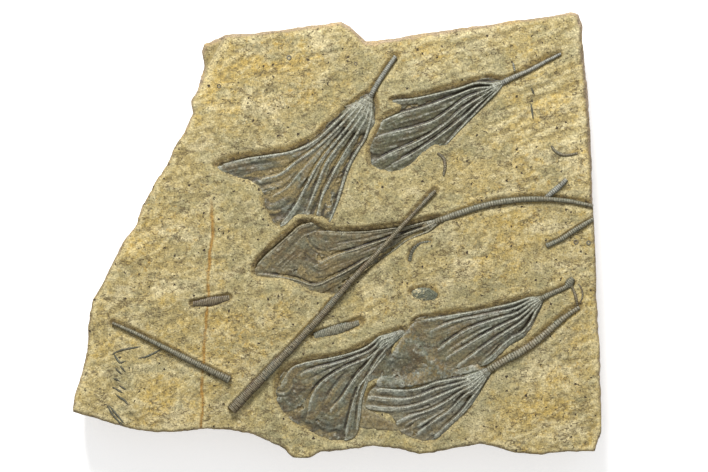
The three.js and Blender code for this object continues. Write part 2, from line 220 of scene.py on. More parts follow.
def drawn_onto(plan: Array, line: Array) -> Array:
    """Moves points to the nearest place on a line.

    Args:
        plan: (n, 2) points.
        line: (m, 2) points of the line.

    Returns:
        (n, 2) points on the line.
    """
    moved = plan.copy()
    steps = np.diff(line, axis=0)
    for i, point in enumerate(plan):
        rel = point - line[:-1]
        share = np.clip((rel * steps).sum(1) / np.maximum((steps**2).sum(1), 1e-12), 0.0, 1.0)
        places = line[:-1] + share[:, None] * steps
        moved[i] = places[((places - point) ** 2).sum(1).argmin()]
    return moved


def inside(plan: Array, outline: Array) -> Array:
    """Whether points lie inside a closed outline, by counting crossings."""
    result = np.zeros(len(plan), bool)
    for (ax, ay), (bx, by) in zip(outline, np.roll(outline, -1, axis=0)):
        crosses = (ay > plan[:, 1]) != (by > plan[:, 1])
        x = ax + (plan[:, 1] - ay) * (bx - ax) / (by - ay + 1e-12)
        result ^= crosses & (plan[:, 0] < x)
    return result


def closed(outline: Array) -> Array:
    """The outline with its first point repeated at the end."""
    return np.vstack([outline, outline[:1]])


def flowing(points: Array, step: float) -> Array:
    """Smooth curve through points, resampled at even spacing in plan.

    Args:
        points: (n, k) rows whose first two columns are x and y.
        step: Spacing, mm.

    Returns:
        (m, k) rows.
    """
    ends = np.vstack([2 * points[0] - points[1], points, 2 * points[-1] - points[-2]])
    t = np.linspace(0, 1, 12, endpoint=False)[:, None]
    spans = []
    for a, b, c, d in zip(ends, ends[1:], ends[2:], ends[3:]):
        cubic = (3 * b - 3 * c + d - a) * t**3 + (2 * a - 5 * b + 4 * c - d) * t**2 + (c - a) * t
        spans.append(b + 0.5 * cubic)
    dense = np.vstack([*spans, points[-1:]])
    run = np.concatenate([[0], np.cumsum(np.hypot(*np.diff(dense[:, :2], axis=0).T))])
    stations = np.linspace(0, run[-1], max(4, round(run[-1] / step) + 1))
    return np.column_stack([np.interp(stations, run, column) for column in dense.T])


# ---- the CAD solids


@dataclass
class CadSolid:
    """A merged copy of one CAD node's mesh, in millimetres."""

    points: Array
    triangles: Array

    @classmethod
    def of(cls, node: str) -> "CadSolid":
        """Reads a node of the frame."""
        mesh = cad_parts[node].data
        raw = np.empty(len(mesh.vertices) * 3, np.float32)
        mesh.vertices.foreach_get("co", raw)
        corners = np.empty(len(mesh.loops), np.int32)
        mesh.loops.foreach_get("vertex_index", corners)
        keys = np.round(raw.reshape(-1, 3) / MM, 3)
        points, where = np.unique(keys, axis=0, return_inverse=True)
        return cls(points, where.reshape(-1)[corners].reshape(-1, 3))

    def sections(self) -> Array:
        """Sections of a swept body, from the end where its route starts.

        Returns:
            Rows of x, y, lowest z, highest z and breadth, one for each section.
        """
        near: dict[int, set[int]] = {}
        for a, b, c in self.triangles:
            near.setdefault(a, set()).update((b, c))
            near.setdefault(b, set()).update((a, c))
            near.setdefault(c, set()).update((a, b))
        poles = [v for v, n in near.items() if self._is_pole(v, n)]
        seen, ring, rows = {poles[0]}, set(near[poles[0]]), []
        while len(ring) > 2:
            at = self.points[sorted(ring)]
            spread = np.hypot(*(at[:, None, :2] - at[None, :, :2]).reshape(-1, 2).T).max()
            rows.append([*at[:, :2].mean(0), at[:, 2].min(), at[:, 2].max(), spread])
            seen |= ring
            ring = set().union(*(near[v] for v in ring)) - seen
        return np.array(rows)

    def _is_pole(self, vertex: int, neighbours: set[int]) -> bool:
        """Whether a vertex is the middle of an end cap."""
        gap = self.points[sorted(neighbours)].mean(0) - self.points[vertex]
        return bool(np.abs(gap).max() < 2e-3)

    def top_outline(self) -> Array:
        """Outline of a plate's upper face, anticlockwise, as (n, 2) points."""
        high = self.points[:, 2] > self.points[:, 2].max() - 0.01
        after: dict[int, int] = {}
        for tri in self.triangles:
            if high[tri].all():
                continue
            for a, b in zip(tri, np.roll(tri, -1)):
                if high[a] and high[b]:
                    after[b] = a
        loop = [next(iter(after))]
        while after[loop[-1]] != loop[0]:
            loop.append(after[loop[-1]])
        return self.points[loop, :2]


def route_of(node: str, start: Vector | Array | None = None, step: float = 0.7) -> Array:
    """Smooth route of a swept CAD node.

    Args:
        node: The node's name.
        start: A place in plan near the end that the route should start from.
        step: Spacing of the route's points, mm.

    Returns:
        Rows of x, y, lowest z, highest z and breadth.
    """
    rows = CadSolid.of(node).sections()
    if start is not None:
        gaps = np.hypot(*(rows[[0, -1], :2] - np.asarray(start)[:2]).T)
        if gaps[1] < gaps[0]:
            rows = rows[::-1]
    return flowing(rows, step)


# ---- meshes


def make_piece(
    name: str,
    points: Array,
    faces: Sequence[Sequence[int]],
    finish: Material,
    marks: dict[Mark, Array] | None = None,
) -> Piece:
    """Makes a mesh object at the origin.

    Args:
        name: The piece's name.
        points: (n, 3) points in mm.
        faces: Corner lists, anticlockwise from outside.
        finish: Material of the whole piece.
        marks: Attribute values, one for each point.

    Returns:
        The object, linked to the scene.
    """
    mesh = bpy.data.meshes.new(name)
    mesh.from_pydata((points * MM).tolist(), [], [list(map(int, f)) for f in faces])
    mesh.materials.append(finish)
    mesh.polygons.foreach_set("use_smooth", np.ones(len(mesh.polygons), bool))
    for mark, values in (marks or {}).items():
        layer = mesh.attributes.new(mark.value, "FLOAT", "POINT")
        layer.data.foreach_set("value", np.asarray(values, np.float32))
    mesh.update()
    obj = bpy.data.objects.new(name, mesh)
    bpy.context.scene.collection.objects.link(obj)
    return obj


def keep_piece(obj: Piece, slot: str, *nodes: str) -> None:
    """Puts a finished piece on the root body and logs it.

    Args:
        obj: The piece.
        slot: Not used.
        nodes: The CAD nodes that it stands for.
    """
    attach(obj, "root")
    if nodes:
        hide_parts(*nodes)
    LOG.info("%s: %d faces", obj.name, len(obj.data.polygons))


def band(low: Array, high: Array) -> Faces:
    """Faces between two closed rings of points of the same length, low ring first."""
    return np.stack([low, np.roll(low, -1), np.roll(high, -1), high], 1).tolist()


@dataclass
class Patch:
    """A fine grid cut to an outline: its points in plan, its cells and its border, anticlockwise."""

    plan: Array
    cells: Array
    border: Array
    spot: Array
    shape: tuple[int, int]

    @classmethod
    def cut(
        cls,
        low: Array,
        high: Array,
        step: float,
        holds: PlanRule,
        snap: PlanRule,
    ) -> "Patch":
        """Cuts a grid to a shape and draws its border onto the shape's edge.

        Args:
            low: Lowest corner of the grid.
            high: Highest corner.
            step: Width of a cell, mm.
            holds: Says which points lie in the shape.
            snap: Moves points onto the shape's edge.

        Returns:
            The patch.
        """
        xs = np.arange(low[0] - step, high[0] + 2 * step, step)
        ys = np.arange(low[1] - step, high[1] + 2 * step, step)
        grid = np.stack(np.meshgrid(xs, ys), -1)
        kept = holds(grid.reshape(-1, 2)).reshape(grid.shape[:2])
        cell = kept[:-1, :-1] & kept[1:, :-1] & kept[:-1, 1:] & kept[1:, 1:]
        cell = cls._whole(cell)
        row, col = np.nonzero(cell)
        wide = grid.shape[1]
        first = row * wide + col
        quads = np.stack([first, first + 1, first + 1 + wide, first + wide], 1)
        used, where = np.unique(quads, return_inverse=True)
        quads = where.reshape(-1, 4)
        plan = grid.reshape(-1, 2)[used]
        border = cls._border(quads, len(plan))
        plan[border] = snap(plan[border])
        return cls(plan, quads, border, used, grid.shape[:2])

    @classmethod
    def cut_to(cls, outline: Array, step: float) -> "Patch":
        """Cuts a grid to a closed outline."""
        edge = closed(outline)
        rules = (lambda plan: inside(plan, outline)), (lambda plan: drawn_onto(plan, edge))
        return cls.cut(outline.min(0), outline.max(0), step, *rules)

    def blurred(self, values: Array, reach: int) -> Array:
        """Values smoothed over the neighbouring cells.

        Args:
            values: One number for each point.
            reach: How many cells to each side.

        Returns:
            The smoothed values.
        """
        total, share = np.zeros(self.shape), np.zeros(self.shape)
        total.flat[self.spot], share.flat[self.spot] = values, 1.0
        for axis in (0, 1, 0, 1):
            total, share = (self._box(grid, reach, axis) for grid in (total, share))
        return total.flat[self.spot] / share.flat[self.spot]

    @staticmethod
    def _box(grid: Array, reach: int, axis: int) -> Array:
        """Moving average along one axis."""
        margin = [(reach + 1, reach) if a == axis else (0, 0) for a in (0, 1)]
        total = np.cumsum(np.pad(grid, margin), axis)
        first = np.arange(grid.shape[axis])
        return np.take(total, first + 2 * reach + 1, axis) - np.take(total, first, axis)

    def cavity(self, heights: Array, reach: int, depth: float) -> dict[Mark, Array]:
        """Painted highlight and shade marks from what stands above and below its surroundings.

        Args:
            heights: Height of every point.
            reach: Size of the surroundings in cells.
            depth: Height difference of a full mark, mm.

        Returns:
            Crest marks as painted highlights and deep marks as painted shade.
        """
        proud = (heights - self.blurred(heights, reach)) / depth
        return {Mark.CREST: smooth_step(proud, 0.0, 1.0), Mark.DEEP: smooth_step(-proud, 0.0, 1.0)}

    @staticmethod
    def _whole(cell: Array) -> Array:
        """The largest connected part of a cell mask, without cells that touch by a corner only."""
        for _ in range(6):
            a, b, c, d = cell[:-1, :-1], cell[:-1, 1:], cell[1:, :-1], cell[1:, 1:]
            rising, falling = a & d & ~b & ~c, b & c & ~a & ~d
            if not (rising | falling).any():
                break
            cell[:-1, :-1] &= ~rising
            cell[:-1, 1:] &= ~falling
        label = np.where(cell, np.arange(1, cell.size + 1).reshape(cell.shape), 0)
        while True:
            padded = np.pad(label, 1)
            spread = np.maximum.reduce(
                [padded[1:-1, 1:-1], padded[:-2, 1:-1], padded[2:, 1:-1], padded[1:-1, :-2], padded[1:-1, 2:]]
            )
            for axis in (0, 1):  # long runs are joined at once, so that few passes are needed
                spread = Patch._runs(np.where(cell, spread, 0), axis)
            if (spread == label).all():
                break
            label = spread
        names, counts = np.unique(label[cell], return_counts=True)
        return label == names[counts.argmax()]

    @staticmethod
    def _runs(label: Array, axis: int) -> Array:
        """Gives every unbroken run of cells along an axis its highest label."""
        lines = label if axis else label.T
        flat = np.pad(lines, ((0, 0), (0, 1))).reshape(-1)
        starts = np.flatnonzero((flat > 0) & (np.concatenate([[0], flat[:-1]]) == 0))
        ends = np.flatnonzero((flat == 0) & (np.concatenate([[0], flat[:-1]]) > 0))
        if len(starts):
            highest = np.maximum.reduceat(flat, np.stack([starts, ends], 1).reshape(-1)[:-1])[::2]
            flat = flat.copy()
            flat[flat > 0] = np.repeat(highest, ends - starts)
        lines = flat.reshape(lines.shape[0], -1)[:, :-1]
        return lines if axis else lines.T

    @staticmethod
    def _border(quads: Array, count: int) -> Array:
        """The longest chain of edges that have a cell on one side only."""
        edges = np.concatenate([quads[:, [i, (i + 1) % 4]] for i in range(4)])
        forward = edges[:, 0].astype(np.int64) * count + edges[:, 1]
        backward = edges[:, 1].astype(np.int64) * count + edges[:, 0]
        after = {int(a): int(b) for a, b in edges[~np.isin(forward, backward)]}
        longest: list[int] = []
        while after:
            start = next(iter(after))
            loop, at = [start], after.pop(start)
            while at != start:
                loop.append(at)
                at = after.pop(at)
            longest = max(longest, loop, key=len)
        return np.array(longest)

    def closed_below(
        self, heights: Array, walls: Sequence[Array]
    ) -> tuple[Array, Faces]:
        """Closes the patch into a body with walls under its border and a flat floor.

        Args:
            heights: Height of every point of the patch.
            walls: Rings of (n, 3) points below the border, from the top down.

        Returns:
            Points and faces.
        """
        size = len(self.border)
        middle = walls[-1].mean(0)
        points = np.vstack([np.column_stack([self.plan, heights]), *walls, middle])
        faces: Faces = self.cells.tolist()
        upper = self.border
        for level in range(len(walls)):
            lower = len(self.plan) + level * size + np.arange(size)
            faces += np.stack([upper, lower, np.roll(lower, -1), np.roll(upper, -1)], 1).tolist()
            upper = lower
        hub = np.full(size, len(points) - 1)
        faces += np.stack([upper, hub, np.roll(upper, -1)], 1).tolist()
        return points, faces

    def sheet(
        self,
        name: str,
        heights: Array,
        base: Array,
        finish: Material,
        marks: dict[Mark, Array],
    ) -> Piece:
        """Makes a piece of the patch with one wall under its border.

        Args:
            name: The piece's name.
            heights: Height of every point.
            base: Height of the wall's foot, for each point of the border.
            finish: Its material.
            marks: Marks of every point.

        Returns:
            The piece.
        """
        points, faces = self.closed_below(heights, [np.column_stack([self.plan[self.border], base])])
        marks = {mark: np.concatenate([v, v[self.border], [0.0]]) for mark, v in marks.items()}
        return make_piece(name, points, faces, finish, marks)


# ---- node trees


class Shader:
    """Writes shader nodes into a material or a group."""

    def __init__(self, tree: NodeTree) -> None:
        """Keeps the tree that the nodes go into."""
        self.tree = tree

    def node(
        self, kind: str, inputs: dict[str | int, object] | None = None, **settings: object
    ) -> bpy.types.Node:
        """Adds a node.

        Args:
            kind: The node's type name.
            inputs: Values or sockets, by input name or place.
            settings: The node's own properties.

        Returns:
            The node.
        """
        made = self.tree.nodes.new(kind)
        for key, value in settings.items():
            setattr(made, key, value)
        for key, value in (inputs or {}).items():
            self.feed(made.inputs[key], value)
        return made

    def feed(self, socket: Socket, value: object) -> None:
        """Links a socket to an input, or sets the input's value."""
        if isinstance(value, bpy.types.NodeSocket):
            self.tree.links.new(value, socket)
        else:
            socket.default_value = value

    def math(self, operation: str, a: Value, b: Value = 0.0) -> Socket:
        """One Math node's result."""
        return self.node("ShaderNodeMath", {0: a, 1: b}, operation=operation).outputs[0]

    def ramp(self, value: Value, low: float, high: float, to: tuple[float, float] = (0.0, 1.0)) -> Socket:
        """Smooth step of a value from low to high, mapped to a range."""
        ends = {"Value": value, "From Min": low, "From Max": high, "To Min": to[0], "To Max": to[1]}
        return self.node("ShaderNodeMapRange", ends, interpolation_type="SMOOTHSTEP").outputs[0]

    def blend(self, share: Value, a: object, b: object, kind: str = "MIX") -> Socket:
        """Mixes two colours."""
        mix = self.node("ShaderNodeMix", {0: share, 6: a, 7: b}, data_type="RGBA", blend_type=kind)
        return mix.outputs[2]

    def over(self, colour: Socket | Colour, code: str, share: Value, amount: Value) -> Socket:
        """Lays a colour over another by the product of two shares."""
        return self.blend(self.math("MULTIPLY", share, amount), colour, tone(code))

    def noise(self, where: Socket, length: float, detail: float = 3.0, rough: float = 0.55) -> Socket:
        """Noise from 0 to 1 with a wavelength in mm."""
        values = {"Vector": where, "Scale": 1.0 / (length * MM), "Detail": detail, "Roughness": rough}
        return self.node("ShaderNodeTexNoise", values).outputs[0]

    def mark(self, mark: Mark) -> Socket:
        """An attribute of the piece as a number."""
        return self.node("ShaderNodeAttribute", attribute_name=mark.value).outputs["Fac"]

    def place(self) -> Socket:
        """Object coordinates."""
        return self.node("ShaderNodeTexCoord").outputs["Object"]

    def turned(self, where: Socket, degrees: float, stretch: float) -> Socket:
        """Coordinates turned about Z and drawn out along their heading."""
        values = {
            "Vector": where,
            "Rotation": (0.0, 0.0, math.radians(-degrees)),
            "Scale": (1.0 / stretch, 1.0, 1.0),
        }
        return self.node("ShaderNodeMapping", values, vector_type="POINT").outputs[0]


def tone(code: str) -> Colour:
    """Linear colour of a six-figure hex code."""
    channels = [int(code[i : i + 2], 16) / 255 for i in (0, 2, 4)]
    r, g, b = (c / 12.92 if c <= 0.04045 else ((c + 0.055) / 1.055) ** 2.4 for c in channels)
    return (r, g, b, 1.0)


def new_group(
    name: str, inputs: dict[str, tuple[str, object]], outputs: dict[str, str]
) -> tuple[NodeTree, Shader, Sequence[Socket], bpy.types.Node]:
    """Starts a shader node group.

    Args:
        name: The group's name.
        inputs: Socket type and default by name.
        outputs: Socket type by name.

    Returns:
        The group, its Shader, its input sockets and its output node.
    """
    group = bpy.data.node_groups.new(name, "ShaderNodeTree")
    for label, (kind, default) in inputs.items():
        socket = group.interface.new_socket(label, in_out="INPUT", socket_type=kind)
        if default is not None:
            socket.default_value = default
    for label, kind in outputs.items():
        group.interface.new_socket(label, in_out="OUTPUT", socket_type=kind)
    shader = Shader(group)
    entry, leave = shader.node("NodeGroupInput"), shader.node("NodeGroupOutput")
    return group, shader, entry.outputs, leave


def stone_grain_group() -> NodeTree:
    """Shared effect: the grain, blotches and pits of stone, as masks and a height."""
    group, s, given, leave = new_group(
        "StoneGrain",
        {
            "Vector": ("NodeSocketVector", None),
            "Speck Scale": ("NodeSocketFloat", 900.0),
            "Blotch Scale": ("NodeSocketFloat", 90.0),
            "Pit Scale": ("NodeSocketFloat", 260.0),
            "Pit Share": ("NodeSocketFloat", 0.2),
        },
        {label: "NodeSocketFloat" for label in ("Speck", "Blotch", "Pits", "Height")},
    )
    texture = "ShaderNodeTexNoise"
    fine = {"Vector": given[0], "Scale": given[1]}
    speck = s.node(texture, fine | {"Detail": 2.0, "Roughness": 0.7}).outputs[0]
    broad = {"Vector": given[0], "Scale": given[2], "Detail": 4.0, "Roughness": 0.6}
    blotch = s.node(texture, broad).outputs[0]
    warp = s.node(texture, fine | {"Detail": 1.0}).outputs[1]
    offset = s.node("ShaderNodeVectorMath", {0: warp, 1: (0.5, 0.5, 0.5)}, operation="SUBTRACT").outputs[0]
    ratio = s.math("DIVIDE", 2.1, given[1])
    shift = s.node("ShaderNodeVectorMath", {0: offset, "Scale": ratio}, operation="SCALE").outputs[0]
    bent = s.node("ShaderNodeVectorMath", {0: given[0], 1: shift}, operation="ADD").outputs[0]
    cells = s.node("ShaderNodeTexVoronoi", {"Vector": bent, "Scale": given[3]})
    chance = s.node("ShaderNodeSeparateColor", {0: cells.outputs["Color"]}).outputs[0]
    chosen = s.math("LESS_THAN", chance, given[4])
    reach = s.math("MULTIPLY_ADD", chance, 0.9)
    reach.node.inputs[2].default_value = 0.1
    pits = s.math("MULTIPLY", chosen, s.ramp(s.math("SUBTRACT", reach, cells.outputs["Distance"]), 0.0, 0.07))
    uneven = s.math("MULTIPLY", s.math("ADD", speck, blotch), 0.5)
    height = s.math("SUBTRACT", uneven, s.math("MULTIPLY", pits, 0.5))
    for label, value in (("Speck", speck), ("Blotch", blotch), ("Pits", pits), ("Height", height)):
        s.feed(leave.inputs[label], value)
    return group


def tint_group() -> NodeTree:
    """Shared effect: lightens and darkens a colour with the grain, then darkens its pits."""
    group, s, given, leave = new_group(
        "GrainTint",
        {
            "Color": ("NodeSocketColor", None),
            "Speck": ("NodeSocketFloat", 0.5),
            "Pits": ("NodeSocketFloat", 0.0),
            "Contrast": ("NodeSocketFloat", 0.5),
            "Pit Color": ("NodeSocketColor", None),
        },
        {"Color": "NodeSocketColor"},
    )
    centred = s.math("MULTIPLY", s.math("SUBTRACT", given[1], 0.5), given[3])
    factor = s.math("ADD", centred, 1.0)
    grey = s.node("ShaderNodeCombineColor", {0: factor, 1: factor, 2: factor}).outputs[0]
    toned = s.blend(1.0, given[0], grey, "MULTIPLY")
    s.feed(leave.inputs[0], s.blend(given[2], toned, given[4]))
    return group


@dataclass(frozen=True)
class GrainSettings:
    """How a finish uses the shared stone grain. Lengths are in mm."""

    speck: float
    blotch: float
    pit: float
    pit_share: float
    contrast: float
    bump: float


class Finish:
    """A material with the shared grain, tint and a bump."""

    def __init__(self, name: str, grain: GrainSettings, groups: Groups) -> None:
        """Makes the material and places the shared grain.

        Args:
            name: The material's name.
            grain: Values of the grain.
            groups: The shared groups by name.
        """
        self.material = bpy.data.materials.new(name)
        self.material.use_nodes = True
        self.material.node_tree.nodes.clear()
        self.shader = Shader(self.material.node_tree)
        self.grain = grain
        self.groups = groups
        self.where = self.shader.place()
        made = self.shader.node("ShaderNodeGroup", node_tree=groups["grain"])
        scales = (grain.speck, grain.blotch, grain.pit)
        self.shader.feed(made.inputs["Vector"], self.where)
        for label, length in zip(("Speck Scale", "Blotch Scale", "Pit Scale"), scales):
            made.inputs[label].default_value = 1.0 / (length * MM)
        made.inputs["Pit Share"].default_value = grain.pit_share
        self.masks = made.outputs

    def finish(
        self, colour: Socket, pit: Colour, rough: float, height: Socket | None = None
    ) -> Material:
        """Closes the material.

        Args:
            colour: The colour before the grain.
            pit: Colour inside the pits.
            rough: Roughness.
            height: Height for the bump; the grain's own if left out.

        Returns:
            The material.
        """
        s = self.shader
        tinted = s.node("ShaderNodeGroup", node_tree=self.groups["tint"])
        feeds = {"Color": colour, "Speck": self.masks["Speck"], "Pits": self.masks["Pits"]}
        feeds |= {"Contrast": self.grain.contrast, "Pit Color": pit}
        for label, value in feeds.items():
            s.feed(tinted.inputs[label], value)
        bump = s.node(
            "ShaderNodeBump",
            {"Strength": 1.0, "Distance": self.grain.bump * MM, "Height": height or self.masks["Height"]},
        )
        surface = s.node(
            "ShaderNodeBsdfPrincipled",
            {"Base Color": tinted.outputs[0], "Roughness": rough, "Normal": bump.outputs[0]},
        )
        out = s.node("ShaderNodeOutputMaterial")
        s.feed(out.inputs["Surface"], surface.outputs[0])
        return self.material


@dataclass(frozen=True)
class Limestone:
    """Finish of the matrix: tan stone with ochre, pale and grey patches, brown where it was cleaned, with
    painted shade on the fossils' north sides and painted highlights and shade from its own relief.
    """

    base: str = "9c8b59"
    cream: str = "baad85"
    ochre: str = "ad9145"
    rust: str = "a88636"
    pale: str = "c8bc92"
    grey: str = "807a58"
    # colour of cleaned ground, also laid on as painted shade on the fossils' north sides
    halo: str = "8a733c"
    broken: str = "917f67"
    layer: str = "7d6c50"
    # painted shade colour for the stone's hollows
    hollow: str = "5e5234"
    # colour of the dark seam along the fossils' edges, mostly painted shade
    seam: str = "4a3c22"
    speck: str = "54462a"
    crack: str = "8f6a2a"
    pit: str = "35291a"

    def make(self, groups: Groups) -> Material:
        """Builds the material."""
        f = Finish("limestone", GrainSettings(0.95, 9.0, 2.8, 0.22, 2.4, 0.6), groups)
        s, where = f.shader, f.where
        drawn = s.turned(where, 22.0, 1.9)
        creamy = s.ramp(s.noise(drawn, 17.0, 7.0, 0.72), 0.48, 0.6)
        colour = s.over(tone(self.base), self.cream, creamy, 0.8)
        greyish = s.ramp(s.noise(drawn, 11.0, 6.0, 0.72), 0.5, 0.62)
        colour = s.over(colour, self.grey, greyish, 0.66)
        patches = s.ramp(s.noise(where, 21.0, 7.0, 0.7), 0.49, 0.61)
        stained = s.math("MAXIMUM", s.math("MULTIPLY", patches, 0.75), s.mark(Mark.STREAK))
        uneven = s.ramp(s.noise(where, 3.0, 3.0, 0.7), 0.35, 0.62, (0.3, 1.0))
        colour = s.over(colour, self.ochre, stained, uneven)
        spots = s.ramp(s.noise(where, 4.2, 5.0, 0.75), 0.54, 0.66)
        zones = s.ramp(s.noise(where, 45.0, 3.0), 0.42, 0.6, (0.1, 0.8))
        colour = s.over(colour, self.rust, spots, zones)
        strokes = s.ramp(s.noise(s.turned(where, 24.0, 5.0), 1.3, 2.0, 0.6), 0.35, 0.65)
        raked = s.math("MULTIPLY", strokes, s.math("ADD", 0.12, s.mark(Mark.RAKED)))
        colour = s.over(colour, self.pale, raked, 0.6)
        # painted highlight on the stone's proud spots
        colour = s.over(colour, self.pale, s.mark(Mark.CREST), 0.4)
        # painted shade in the stone's hollows
        colour = s.over(colour, self.hollow, s.mark(Mark.DEEP), 0.45)
        dulled = s.ramp(s.noise(where, 9.0, 4.0, 0.6), 0.3, 0.66, (0.3, 0.75))
        colour = s.over(colour, self.grey, s.mark(Mark.DULL), dulled)
        # cleaned ground round the fossils, partly painted shade on their north sides
        cleaned = s.ramp(s.noise(where, 6.0, 4.0, 0.65), 0.3, 0.66, (0.3, 0.95))
        colour = s.over(colour, self.halo, s.mark(Mark.HALO), cleaned)
        chips = s.ramp(s.noise(s.turned(where, 24.0, 1.6), 2.1, 3.0, 0.7), 0.58, 0.7, (0.0, 0.6))
        colour = s.blend(chips, colour, tone(self.pale))
        crowded = s.ramp(s.noise(where, 13.0, 3.0), 0.4, 0.62, (0.25, 0.9))
        specks = s.ramp(s.noise(where, 1.7, 3.0, 0.65), 0.39, 0.3)
        colour = s.over(colour, self.speck, specks, crowded)
        colour = s.blend(self._hairlines(s, where), colour, tone(self.speck))
        # dark seam along the fossils' edges and the ledge, mostly painted shade
        seam = s.ramp(s.noise(where, 3.0, 3.0), 0.35, 0.6, (0.35, 0.95))
        colour = s.over(colour, self.seam, s.mark(Mark.STAIN), seam)
        colour = s.blend(s.mark(Mark.CRACK), colour, tone(self.crack))
        colour = s.blend(s.mark(Mark.SIDE), colour, self._broken(s, where))
        height = s.math("ADD", f.masks["Height"], s.math("MULTIPLY", specks, -0.4))
        return f.finish(colour, tone(self.pit), 0.85, height)

    @staticmethod
    def _hairlines(s: Shader, where: Socket) -> Socket:
        """Thin broken lines along the bedding, where flakes lift."""
        winding = s.noise(s.turned(where, 24.0, 2.0), 5.5, 4.0, 0.62)
        off = s.math("ABSOLUTE", s.math("SUBTRACT", winding, 0.5))
        thin = s.ramp(off, 0.034, 0.006, (0.0, 0.8))
        return s.math("MULTIPLY", thin, s.ramp(s.noise(where, 7.0, 3.0, 0.6), 0.45, 0.58))

    def _broken(self, s: Shader, where: Socket) -> Socket:
        """Colour of the broken sides, layered like the bedding."""
        values = {"Vector": where, "Scale": (0.1, 0.1, 1.0)}
        flat = s.node("ShaderNodeMapping", values, vector_type="POINT").outputs[0]
        layers = s.ramp(s.noise(flat, 4.5, 4.0, 0.7), 0.4, 0.62)
        colour = s.blend(layers, tone(self.broken), tone(self.layer))
        stains = s.ramp(s.noise(where, 16.0, 5.0, 0.65), 0.5, 0.7, (0.0, 0.35))
        return s.blend(stains, colour, tone(self.ochre))


@dataclass(frozen=True)
class Calcite:
    """Finish of the fossils: dark olive-grey, with painted highlights on the crests and painted shade, brown
    to near black, in the grooves.
    """

    name: str
    body: str = "57543d"
    warm: str = "574c33"
    cool: str = "596054"
    # painted highlight colour
    crest: str = "969788"
    # painted groove shade and dark seam colour, also the pits' colour
    deep: str = "2b2316"
    bare: str = "7c6d46"
    rough: float = 0.5

    def make(self, groups: Groups) -> Material:
        """Builds the material."""
        f = Finish(self.name, GrainSettings(1.0, 7.0, 2.6, 0.18, 2.5, 0.4), groups)
        s, where = f.shader, f.where
        colour = s.blend(s.ramp(f.masks["Blotch"], 0.45, 0.58), tone(self.body), tone(self.warm))
        bluish = s.ramp(s.noise(where, 9.0, 4.0, 0.6), 0.48, 0.66, (0.0, 0.6))
        colour = s.blend(bluish, colour, tone(self.cool))
        # painted highlight on the crests, broken up by noise
        patchiness = s.ramp(s.noise(where, 2.2, 3.0, 0.7), 0.3, 0.62, (0.25, 1.0))
        colour = s.over(colour, self.crest, s.mark(Mark.CREST), patchiness)
        # painted shade in the grooves and dark seams
        colour = s.blend(s.mark(Mark.DEEP), colour, tone(self.deep))
        sand = s.ramp(s.noise(where, 4.0, 4.0, 0.65), 0.3, 0.62, (0.7, 1.0))
        colour = s.over(colour, self.bare, s.mark(Mark.BARE), sand)
        return f.finish(colour, tone(self.deep), self.rough)


# In these tables each crest colour is a painted highlight and each deep colour painted groove shade.
MAT_FINISHES = {
    Shade.DARK: Calcite("dark_pinnule_calcite", "4b4932", "463f28", "4a4f3f"),
    Shade.PLAIN: Calcite("pinnule_calcite"),
    Shade.BROWN: Calcite("brown_pinnule_calcite", "5f573d", "605234", "5c5e4b", "827e69"),
    Shade.PALE: Calcite("pale_pinnule_calcite", "696758", "635c45", "6d7469"),
}
ARM_FINISHES = {
    Shade.PLAIN: Calcite("arm_calcite", "605d49", rough=0.45),
    Shade.BROWN: Calcite("brown_arm_calcite", "60583f", crest="85806b", rough=0.45),
}
STEM_FINISHES = {
    Tint.DARK: Calcite("dark_stem_calcite", "3d3a2b", "3b3223", crest="55523f"),
    Tint.BROWN: Calcite("brown_stem_calcite", "50472f", "4e3f2b", "646b62", "756c55"),
    Tint.DULL: Calcite("dull_stem_calcite", "5a5643", "564c36", crest="7c7966"),
    Tint.GREY: Calcite("grey_stem_calcite", "65645a", "5f5a48", crest="8d8d82"),
    Tint.PALE: Calcite("pale_stem_calcite", "68614a", "5f533b", crest="898470"),
}


# ---- plates along a path


@dataclass(frozen=True)
class PlateShape:
    """Outline of one stem or arm plate, of unit breadth, height and length.

    Args:
        ring: (across, up) points of the section, anticlockwise.
        waist: Share of the full section at the plate's two joints.
        bands: Positions along the plate, with True where the section is full.
        joint_shine: Painted highlight at a joint over that in the plate's middle.
    """

    ring: tuple[tuple[float, float], ...]
    waist: float
    bands: tuple[tuple[float, bool], ...] = ((-0.5, False), (-0.22, True), (0.22, True), (0.5, False))
    joint_shine: float = 0.4

    @classmethod
    def disc(cls, sides: int = 16, waist: float = 0.86) -> "PlateShape":
        """A round plate with a rounded rim, for a stem."""
        turns = [2 * math.pi * i / sides for i in range(sides)]
        return cls(tuple((0.5 * math.cos(t), 0.5 * math.sin(t)) for t in turns), waist)

    @classmethod
    def keel(cls, waist: float = 0.93) -> "PlateShape":
        """A plate with a flat base and a rounded back, for an arm."""
        back = [math.pi * i / 6 for i in range(7)]
        domed = tuple((0.5 * math.cos(t), 0.25 + 0.75 * math.sin(t) ** 0.8) for t in back)
        return cls(((-0.5, 0.0), (0.5, 0.0), *domed), waist)

    def build(self, name: str) -> Piece:
        """Makes the plate's mesh, with a painted highlight mark high on its back."""
        ring = np.array(self.ring)
        middle = np.array([0.0, ring[:, 1].mean()])
        top = 0.5 if ring[:, 1].min() < 0 else 1.0
        rows, marks = [], []
        for z, full in self.bands:
            section = middle + (ring - middle) * (1.0 if full else self.waist)
            rows.append(np.column_stack([section, np.full(len(ring), z)]))
            marks.append(smooth_step(ring[:, 1], 0.25, top) * (1.0 if full else self.joint_shine))
        size = len(ring)
        at = np.arange(size)
        faces: Faces = []
        for k in range(len(rows) - 1):
            faces += band(at + k * size, at + (k + 1) * size)
        faces += [at[::-1].tolist(), (at + (len(rows) - 1) * size).tolist()]
        return make_piece(name, np.vstack(rows) / MM, faces, BLANK, {Mark.CREST: np.concatenate(marks)})


BLANK = bpy.data.materials.new("template")


